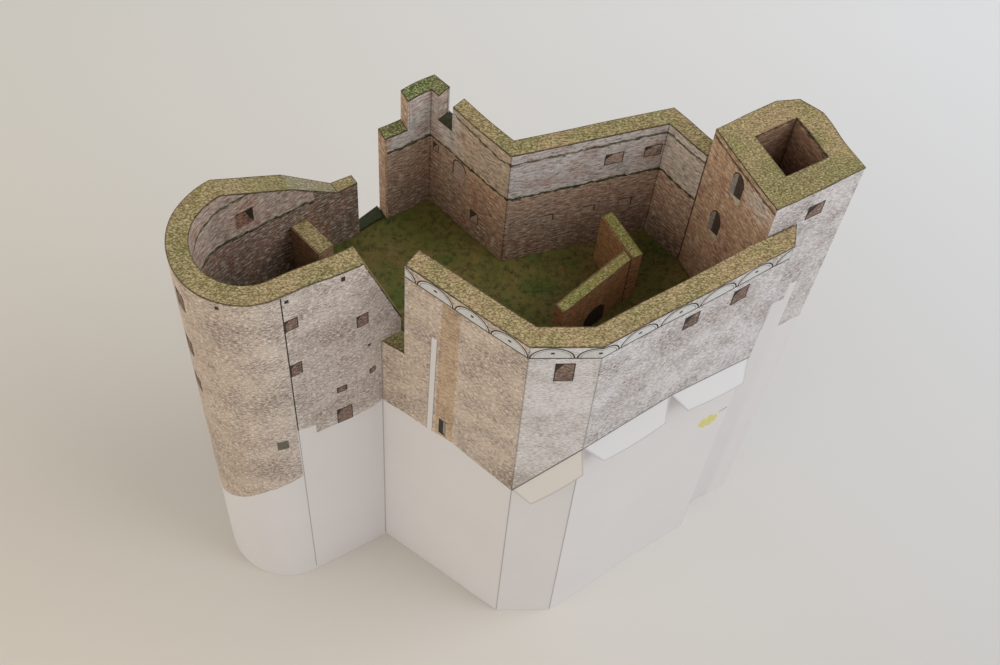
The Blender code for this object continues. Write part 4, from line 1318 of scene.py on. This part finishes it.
def film(sheet, lower, upper, finish, lift=PROUD):
    """A drawn shape between two lines of places along and up a sheet."""
    lower, upper = np.array(lower, float), np.array(upper, float)
    spot = lower[:, None] + (upper - lower)[:, None] * np.linspace(0, 1, 4)[None, :, None]
    front, back = (sheet.on(spot[..., 0], spot[..., 1], height) for height in (lift, -0.1))
    return shell_grids(front, back, spot, finish, finish)


def panel(sheet, foot, head, finish, lift=PROUD):
    """A drawn shape with four corners: the two ends of its foot and of its head."""
    return film(sheet, np.linspace(*foot, 13), np.linspace(*head, 13), finish, lift)


def box(sheet, left, right, low, high, finish):
    """A drawn rectangle."""
    return panel(sheet, ((left, low), (right, low)), ((left, high), (right, high)), finish)


def stroke(sheet, line, width, finish, lift=PROUD):
    """A drawn line: the middle line moved half the width to each side."""
    line = np.array(line, float)
    run = np.gradient(line, axis=0)
    run /= np.linalg.norm(run, axis=1)[:, None]
    side = np.stack([-run[:, 1], run[:, 0]], 1) * width / 2
    return film(sheet, line - side, line + side, finish, lift)


def straight(start, end):
    """Evenly spaced places from one to another."""
    return np.linspace(start, end, max(3, int(math.dist(start, end) / LINE_STEP)))


def window(sheet, left, right, low, high, dim=0.3):
    """A printed window: brown masonry in a dark outline, its upper left corner in shade."""
    shapes = box(sheet, left, right, low, high, 0)
    corner_at = (left, high)
    shade_foot = (left, high - (high - low) * dim * 1.6)
    shade_side = (left + (right - left) * dim * 1.6, high)
    shapes += panel(sheet, (corner_at, shade_foot), (shade_side, shade_side), 1, PROUD + 0.01)
    inset = 0.4 * WINDOW_LINE
    sides = [((side, low), (side, high)) for side in (left + inset, right - inset)]
    sides += [((left, level), (right, level)) for level in (low + inset, high - inset)]
    for ends in sides:
        shapes += stroke(sheet, straight(*ends), WINDOW_LINE, 1, PROUD + 0.02)
    return shapes


def half_round(middle, base, half, high, count=61):
    """Places on a flattened half circle: the cosine goes along and the sine goes up."""
    turn = np.linspace(math.pi, 0, count)
    return np.stack([middle + half * np.cos(turn), base + high * np.sin(turn)], 1)


def footed(head, level):
    """The level line under a drawn head."""
    return np.stack([head[:, 0], np.full(len(head), level)], 1)


def ink(name, colour, dark, scale=1.3):
    """Flat printed ink with a little mottle."""
    recipe = Recipe(name)
    place = recipe.sheet_place()
    mottle = recipe.noise(place, scale, 4, 0.7)
    return recipe.paper(recipe.wash(colour, dark, mottle, 0.35, 0.65), place)


window_print = stone_print(
    "window_print", tint(128, 104, 92), tint(128, 104, 92), tint(38, 28, 26), tint(186, 160, 144)
)
faint_window = stone_print(
    "faint_window_print", tint(188, 164, 150), tint(188, 164, 150), tint(84, 66, 56), tint(216, 196, 182)
)
ink_black = ink("ink_black", tint(62, 52, 46), tint(36, 30, 28))
ink_brown = ink("ink_brown", tint(90, 75, 64), tint(58, 47, 40))
ink_grey = ink("ink_grey", tint(138, 134, 138), tint(112, 108, 112))
ink_moss = ink("ink_moss", tint(118, 114, 100), tint(88, 86, 74))
soft_line = ink("soft_line", tint(184, 178, 180), tint(172, 166, 168))
reveal = ink("reveal", tint(168, 160, 152), tint(120, 110, 102))
pale_sill = ink("pale_sill", tint(214, 206, 180), tint(176, 166, 140))
chalk = ink("chalk", tint(216, 216, 214), tint(200, 199, 196))
INKS = [window_print, ink_black, ink_grey, reveal, chalk, white_card, soft_line]
YARD_INKS = [faint_window, ink_brown, ink_grey, reveal, pale_sill]
BROWN, BLACK, GREY, REVEAL, CHALK, CARD_WHITE, SOFT, EXTRA = range(8)
print("inks", [finish.name for finish in INKS + YARD_INKS])

# %% [markdown]
# ## Windows and holes
# Their places are measured along and up each wall on the photograph.

# %% Draw the windows
FLAT_WINDOWS = (
    (0.35, 3.1, 123.3, 127.2), (0.35, 2.9, 105.3, 109.9), (15.1, 17.75, 113.9, 118.2),
    (17.6, 19.2, 92.5, 94.6), (9.9, 12.2, 90.3, 92.5), (9.5, 13.1, 76.4, 82.6),
)
FLAT_HOLES = ((17.4, 18.1, 104.5, 105.3), (0.9, 1.75, 133.4, 134.4), (12.4, 13.2, 133.4, 134.9))
shapes = []
for sizes in FLAT_WINDOWS:
    shapes += window(flat_sheet, *sizes, dim=0.25)
for sizes in FLAT_HOLES:
    shapes += box(flat_sheet, *sizes, BLACK)
new_piece("flat_wall_windows", shapes, INKS)

ROUND_WINDOWS = ((207, 218, 124.0, 129.9), (204, 214, 105.2, 110.9), (203, 214, 90.2, 94.7))
shapes = []
for first, last, low, high in ROUND_WINDOWS:
    shapes += window(round_sheet, at_bearing(first), at_bearing(last), low, high)
shapes += box(round_sheet, at_bearing(250.2), at_bearing(253), 133.7, 134.8, BLACK)
shapes += box(round_sheet, at_bearing(279.8), at_bearing(289.5), 74.8, 78.5, EXTRA)
new_piece("round_tower_windows", shapes, [*INKS, ink_moss])

middle_at, right_at = front_folds[1], front_folds[2]
shapes = window(front_sheet, middle_at + 5.25, middle_at + 9.1, 123.6, 130.3)
shapes += window(front_sheet, right_at + 19.5, right_at + 23.0, 125.7, 130.3, dim=0.4)
shapes += window(front_sheet, right_at + 31.1, right_at + 34.9, 125.4, 130.4)
shapes += box(front_sheet, 14.9, 16.8, 78.2, 84.8, BLACK)
slit_foot, slit_head = ((16.1, 79.4), (16.8, 78.4)), ((16.1, 84.6), (16.8, 84.4))
shapes += panel(front_sheet, slit_foot, slit_head, REVEAL, PROUD + 0.01)
shapes += window(tower_sheet, 9.2, 12.9, 135.9, 140.2, dim=0.45)
new_piece("front_windows", shapes, INKS)
print("windows drawn")

# %% [markdown]
# ## Frieze
# A row of low half-round arches runs under the cap round all three front faces: a pale field, a
# double line over it, a dot in the middle and one strong line below.

# %% Draw the frieze
FRIEZE_BASE = 132.3
ARCH_HIGH = 3.5
ARCH_HALF = 4.2
ARCH_BORDER = 0.55
ARCH_LINE, INNER_LINE, BASE_LINE = 0.29, 0.13, 0.32
DOT_HALF, DOT_LOW, DOT_HIGH = 0.35, 133.8, 134.4
ARCH_STARTS = (-0.35, 8.5, 17.45, 26.3, 35.1, 44.1, 53.0, 62.2, 71.2, 80.1, 89.6)
DOTTED = (8.5, 17.45, 26.3, 35.1, 44.1, 53.0, 62.2, 80.1)
frieze_end = front_folds[3] - 0.3
shapes = []
for arch_start in ARCH_STARTS:
    middle = arch_start + ARCH_HALF
    outer = half_round(middle, FRIEZE_BASE, ARCH_HALF, ARCH_HIGH)
    inner = half_round(middle, FRIEZE_BASE, ARCH_HALF - ARCH_BORDER, ARCH_HIGH - ARCH_BORDER)
    outer, inner = (line[(line[:, 0] > SILL_LENGTH) & (line[:, 0] < frieze_end)] for line in (outer, inner))
    shapes += film(front_sheet, footed(outer, FRIEZE_BASE), outer, CHALK, 0.02)
    shapes += stroke(front_sheet, outer, ARCH_LINE, BLACK)
    shapes += stroke(front_sheet, inner, INNER_LINE, GREY)
    if arch_start in DOTTED:
        shapes += box(front_sheet, middle - DOT_HALF, middle + DOT_HALF, DOT_LOW, DOT_HIGH, BLACK)
base_line = straight((SILL_LENGTH + 0.05, FRIEZE_BASE), (frieze_end, FRIEZE_BASE))
shapes += stroke(front_sheet, base_line, BASE_LINE, BLACK)
new_piece("frieze", shapes, INKS)
print(len(ARCH_STARTS), "arches, the first and the last one cut short")

# %% [markdown]
# ## Strip, pilaster, seams and fold lines
# A brown pilaster stands beside an unprinted strip on the left face, a dark line marks the glued
# seam of the round tower, and the tabs hang from a dark printed edge.

# %% Draw the lines
shapes = panel(front_sheet, ((13.8, 77.0), (18.6, 77.4)), ((14.5, 131.9), (18.9, 131.9)), EXTRA, 0.02)
shapes += panel(front_sheet, ((11.8, 76.5), (13.1, 76.7)), ((12.25, 116.7), (13.55, 116.7)), CARD_WHITE)
for foot_at, head_at in ((11.75, 12.2), (13.15, 13.6)):
    shapes += stroke(front_sheet, straight((foot_at, 76.7), (head_at, 116.7)), 0.14, REVEAL)
new_piece("pilaster_and_strip", shapes, [*INKS, pilaster_print])

fold_at = FLAT_LENGTH - 0.25
shapes = stroke(flat_sheet, straight((0.24, 81.2), (0.2, WALL_TOP - 0.5)), 0.24, BLACK, 0.04)
shapes += stroke(flat_sheet, straight((0.25, 2), (0.25, 81.2)), 0.22, SOFT)
# Painted shade: grey lines down the folds of the bare card, and a darker line up the print at the front
# corner.
shapes += stroke(flat_sheet, straight((fold_at, 77), (fold_at, SILL)), 0.22, REVEAL, 0.04)
shapes += stroke(flat_sheet, straight((fold_at, 1), (fold_at, 77)), 0.22, SOFT)
for fold in (middle_at, right_at):
    shapes += stroke(front_sheet, straight((fold, 1), (fold, levels(PRINT_EDGE, fold) - 0.4)), 0.2, SOFT)
new_piece("seam_lines", shapes, INKS)

hinges = [row for row in PRINT_EDGE if middle_at <= row[0] <= front_folds[3]]
shapes = []
for start, end in zip(hinges, hinges[1:]):
    shapes += stroke(front_sheet, straight(start, end), 0.42, GREY, 0.04)
new_piece("tab_fold_line", shapes, INKS)
print("lines drawn")

# %% [markdown]
# ## Drawings inside the walls
# Inside, the print shows small windows, niches and putlog holes, each one dark with a pale sill.

# %% Draw inside the walls
PUTLOG_LOW, PUTLOG_HIGH, PUTLOG_LINE = 110.5, 112.7, 0.3
middle_end, left_end = yard_folds[3], yard_folds[2]
shapes = window(yard_sheet, middle_end - 4.2, middle_end - 0.45, 126.5, 130.0)
shapes += window(yard_sheet, middle_end - 12.6, middle_end - 8.7, 126.5, 130.0)
for back_from, back_to in ((7.5, 4.8), (15.5, 13.0), (24.5, 22.0)):
    left, right = middle_end - back_from, middle_end - back_to
    shapes += box(yard_sheet, left, right, PUTLOG_LOW, PUTLOG_HIGH, BROWN)
    for beside in ((left, PUTLOG_HIGH), (right, PUTLOG_LOW)):
        edge_line = straight(beside, (right, PUTLOG_HIGH))
        shapes += stroke(yard_sheet, edge_line, PUTLOG_LINE, BLACK, PROUD + 0.01)
    shapes += stroke(yard_sheet, straight((left, 110.8), (right - 0.6, 110.8)), 0.35, CHALK, PROUD + 0.01)
shapes += window(yard_sheet, left_end - 10.0, left_end - 7.6, 104.0, 108.0, dim=0.55)
shapes += window(yard_sheet, left_end - 21.6, left_end - 19.9, 117.4, 120.2, dim=0.5)
niche = half_round(left_end - 13.7, 118.6, 1.8, 2.2, 21)
shapes += film(yard_sheet, footed(niche, 114.9), niche, BROWN)
shapes += stroke(yard_sheet, niche, 0.3, BLACK, PROUD + 0.01)
shapes += stroke(yard_sheet, straight((left_end - 15.5, 114.9), (left_end - 15.5, 118.6)), 0.35, BLACK)
new_piece("yard_drawings", shapes, YARD_INKS)

brick_window = stone_print(
    "brick_window_print", tint(164, 122, 102), tint(164, 122, 102), tint(60, 42, 34), tint(196, 160, 140)
)
window_left, window_right = lining_ring + 2.2, lining_ring + 6.4
shapes = box(round_inner_sheet, window_left, window_right, 122.9, 127.7, BROWN)
shade_foot, shade_head = (window_right - 1.0, 124.6), (window_right - 1.9, 127.6)
right_foot, right_head = (window_right, 123.2), (window_right, 127.7)
shapes += panel(round_inner_sheet, (shade_foot, right_foot), (shade_head, right_head), BLACK, PROUD + 0.01)
top_edge = straight((window_left, 127.6), (window_right, 127.6))
shapes += stroke(round_inner_sheet, top_edge, 0.2, BLACK, PROUD + 0.02)
new_piece("round_inside_window", shapes, [brick_window, *INKS[1:]])
print("inside drawn")

# %% [markdown]
# ## Arched windows of the square tower
# Two arched openings are drawn in the tower's courtyard side: a lit reveal on the left, a dark
# opening on the right and a pale sill below.


# %% Draw the arched windows
def arched_window(sheet, left, right, low, spring, high):
    """An opening with a round head: half a circle stretched from the springing to the top."""
    middle, half = (left + right) / 2, (right - left) / 2
    head = half_round(middle, spring, half, high - spring, 31)
    made = film(sheet, footed(head, low), head, BLACK)
    reveal_at = left + (right - left) * 0.42
    lit = head[head[:, 0] < reveal_at]
    made += film(sheet, footed(lit, low), lit - (0, 0.3), REVEAL, PROUD + 0.01)
    sill = straight((left, low + 0.7), (right, low - 0.4))
    raised = 0.02 + np.interp(sill[:, 0], (left, right), (0, 2.3))
    made += film(sheet, sill, sill + np.stack([0 * raised, raised], 1), CHALK, PROUD + 0.02)
    made += stroke(sheet, head, 0.16, BLACK, PROUD + 0.03)
    return made


shapes = arched_window(tower_side_sheet, 8.4, 12.1, 134.2, 139.6, 142.4)
shapes += arched_window(tower_side_sheet, 5.5, 9.1, 117.8, 122.6, 126.1)
new_piece("tower_arched_windows", shapes, YARD_INKS)

low_long_sheet = Sheet([low_far, low_near])
arch_head = half_round(10.4, 102.2, 3.0, 3.6, 31)
arch_film = film(low_long_sheet, footed(arch_head, FLOOR + 0.4), arch_head, BLACK)
new_piece("low_wall_arch", arch_film, INKS, leans=False)
print("arches drawn")

# %% [markdown]
# ## Glue tabs
# Three flaps hang from the printed edge of the front. They were meant to be folded under and
# glued; here they stand off the wall. Each starts on the printed edge of its face and goes down
# the wall and out from it at the same time, with a little curl.

# %% Fold the tabs out
TAB_DROP = 2.75
TAB_REACH = 3.7
TAB_CARD = 0.2
TAB_DEPTH = 5
LEFT_TAPER, RIGHT_TAPER = 2.6, 3.4
TAB_INSET = 0.3
TAB_HINGE = 0.15
TAB_GAP = 0.05
TAB_BOW = 0.35


def glue_tab(name, face, start, end, card, replaces):
    """A flap with tapered ends: its depth goes down the face and out of it, and it is bowed in
    the middle by a sine."""
    start = np.array(start, float)
    run = np.array(end, float) - start
    length = np.linalg.norm(run)
    run /= length
    down = np.array((run[1], -run[0]))
    share = np.linspace(0, 1, 33)[:, None]
    depth = np.linspace(1, 0, 13)[None]
    first = TAB_INSET + LEFT_TAPER * depth
    along = first + (length - TAB_INSET - RIGHT_TAPER * depth - first) * share
    spot = start + run * along[..., None] + down * (TAB_HINGE + TAB_DROP * depth)[..., None]
    out = TAB_GAP + TAB_REACH * depth + TAB_BOW * depth**2 * np.sin(math.pi * share)
    way = face.corners[1] - face.corners[0]
    way /= np.linalg.norm(way)
    outward = np.array((way[1], -way[0], 0))
    front = face.on(spot[..., 0], spot[..., 1]) + outward * out[..., None] * MM
    thick = np.array((*(outward[:2] * TAB_DROP), TAB_REACH)) / math.hypot(TAB_DROP, TAB_REACH)
    inward = np.minimum(np.minimum(share * length, (1 - share) * length), TAB_DEPTH * (1 - depth))
    # Painted shade along the tab's cut edges.
    edge = np.exp(-((inward / 0.2) ** 2))
    grids = shell_grids(front, front - thick * TAB_CARD * MM, spot, 0, 0, edge=edge)
    new_piece(name, grids, [card], replaces=[replaces], slot="white_card")


middle_face = Sheet([left_fold, left_fold + step(FRONT_MIDDLE + 9, 0)], 0)
right_face = Sheet([right_fold, right_fold + step(FRONT_RIGHT + 9, RIGHT_BEARING)], 0)
half_way = FRONT_RIGHT / 2
glue_tab("left_tab", middle_face, (0, 74.1), (FRONT_MIDDLE, 94.2), tab_card, "glue_tab_left")
glue_tab("middle_tab", right_face, (0, 94.2), (half_way, 96.2), tab_card_with_painted_shade, "glue_tab_middle")
glue_tab("right_tab", right_face, (half_way, 96.2), (FRONT_RIGHT, 92.9), tab_card_with_painted_shade, "glue_tab_right")
print("tabs reach", TAB_REACH, "mm out")

# %% [markdown]
# ## Smudge
# A soft yellow smudge lies on the white card near the right end, with a faint grey tail.

# %% Add the smudge
yellow = ink("smudge_yellow", tint(228, 223, 164), tint(208, 201, 112), 0.9)
smudge_way = np.array((3.0, -0.5))
smudge_side = np.array((-0.4, 2.7))
reach = np.linspace(-1, 1, 25)[:, None]
middle_line = np.array((right_at + 38.2, 68.3)) + smudge_way * reach
swell = smudge_side * (np.sqrt(1.0001 - reach**2) * (1 + 0.15 * np.sin(9 * reach)))
shapes = film(front_sheet, middle_line - swell, middle_line + swell, EXTRA, 0.02)
shapes += stroke(front_sheet, straight((right_at + 41.2, 69.9), (right_at + 43.6, 70.3)), 0.3, GREY)
new_piece("smudge", shapes, [*INKS, yellow])
print("smudge added")

# %% [markdown]
# ## Parts of the frame that stay
# The floor, the shaft, the cross wall and the low walls already have their shape. Only their
# finish changes.


# %% Dress the nodes that stay
def dress(material, *names):
    """Gives CAD nodes a finish."""
    for name in names:
        for place in nodes[name].material_slots:
            place.link = "OBJECT"
            place.material = material


def masonry(name, bearing, colour, dark):
    """Brown masonry on a block: courses run along its bearing."""
    recipe = Recipe(name)
    place = recipe.solid_place()
    turned = recipe.node("Mapping", None, Vector=place)
    turned.inputs["Rotation"].default_value = (0, 0, math.radians(-bearing))
    parts = recipe.node("SeparateXYZ", None, Vector=turned.outputs[0])
    both = recipe.calc("ADD", parts.outputs["X"], parts.outputs["Y"], clamp=False)
    flat = recipe.node("CombineXYZ", None, X=both, Y=parts.outputs["Z"]).outputs[0]
    wavy = recipe.shaken(flat, 0.5, 0.8)
    stones, joints = add_courses(recipe, wavy, 1.6, 0.7)
    dashes = recipe.noise(recipe.vector("MULTIPLY", wavy, (0.8, 2, 1)), 0.9, 4, 0.65)
    shade = recipe.wash(colour, dark, dashes, 0.45, 0.7)
    pale = recipe.blend(colour, tint(226, 196, 160), 0.5)
    shade = recipe.wash(shade, pale, dashes, 0.46, 0.3, 0.8)
    shade = recipe.lay(shade, pale, joints, 0.25)
    shade = recipe.wash(shade, dark, stones, 0.4, 1.0, 0.4)
    return recipe.paper(shade, place)


dress(turf, "courtyard_floor")
dress(dark_turf, "threshold_cap")
dress(masonry("cross_wall_print", -48.9, tint(158, 124, 94), tint(66, 48, 36)), "cross_wall")
low_wall_print = masonry("low_wall_print", 41.2, tint(178, 132, 90), tint(80, 54, 36))
dress(low_wall_print, "low_wall_long", "low_wall_short")
shaft_print = masonry("shaft_print", 27.5, tint(164, 130, 108), tint(60, 44, 36))
dress(shaft_print, "shaft_front", "shaft_right", "shaft_back", "shaft_left")
print("nodes still shown:", sum(not node.hide_render for node in nodes.values()))

# %% [markdown]
# ## Table
# A plain pale sheet fills the view and catches the soft shadow. Its tint is painted light: it runs
# from warmer on the left to cooler on the right, and grows paler towards the back.

# %% Lay the table
TABLE_HALF = 3.0
table_mesh = bpy.data.meshes.new("table")
table_corners = [(-1, -1), (1, -1), (1, 1), (-1, 1)]
table_corners = [(x * TABLE_HALF, y * TABLE_HALF, -0.05 * MM) for x, y in table_corners]
table_mesh.from_pydata(table_corners, [], [(0, 1, 2, 3)])
table = bpy.data.objects.new("table", table_mesh)
bpy.context.scene.collection.objects.link(table)
table_finish = Recipe("table_finish", 0.9)
table_place = table_finish.node("SeparateXYZ", None, Vector=table_finish.solid_place())
to_right = table_finish.slide(table_place.outputs["X"], -150, 150)
to_back = table_finish.slide(table_place.outputs["Y"], -50, 170)
# Painted light: the table is warmer on the left, cooler on the right and paler towards the back.
table_near = table_finish.blend(tint(218, 209, 196), tint(201, 200, 200), to_right)
table_far = table_finish.blend(tint(216, 213, 206), tint(225, 226, 229), to_right)
table_painted_light = table_finish.blend(table_near, table_far, to_back)
table_finish.put(table_finish.shader.inputs["Base Color"], table_painted_light)
table_mesh.materials.append(table_finish.material)
table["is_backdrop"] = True
print("table", TABLE_HALF * 2, "m wide")

# %% [markdown]
# ## Finish
# The box of the dressed model is printed in millimetres.

# %% Write the sizes and finish
low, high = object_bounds()
print("visual box in mm", [round(1000 * v, 1) for v in high - low])
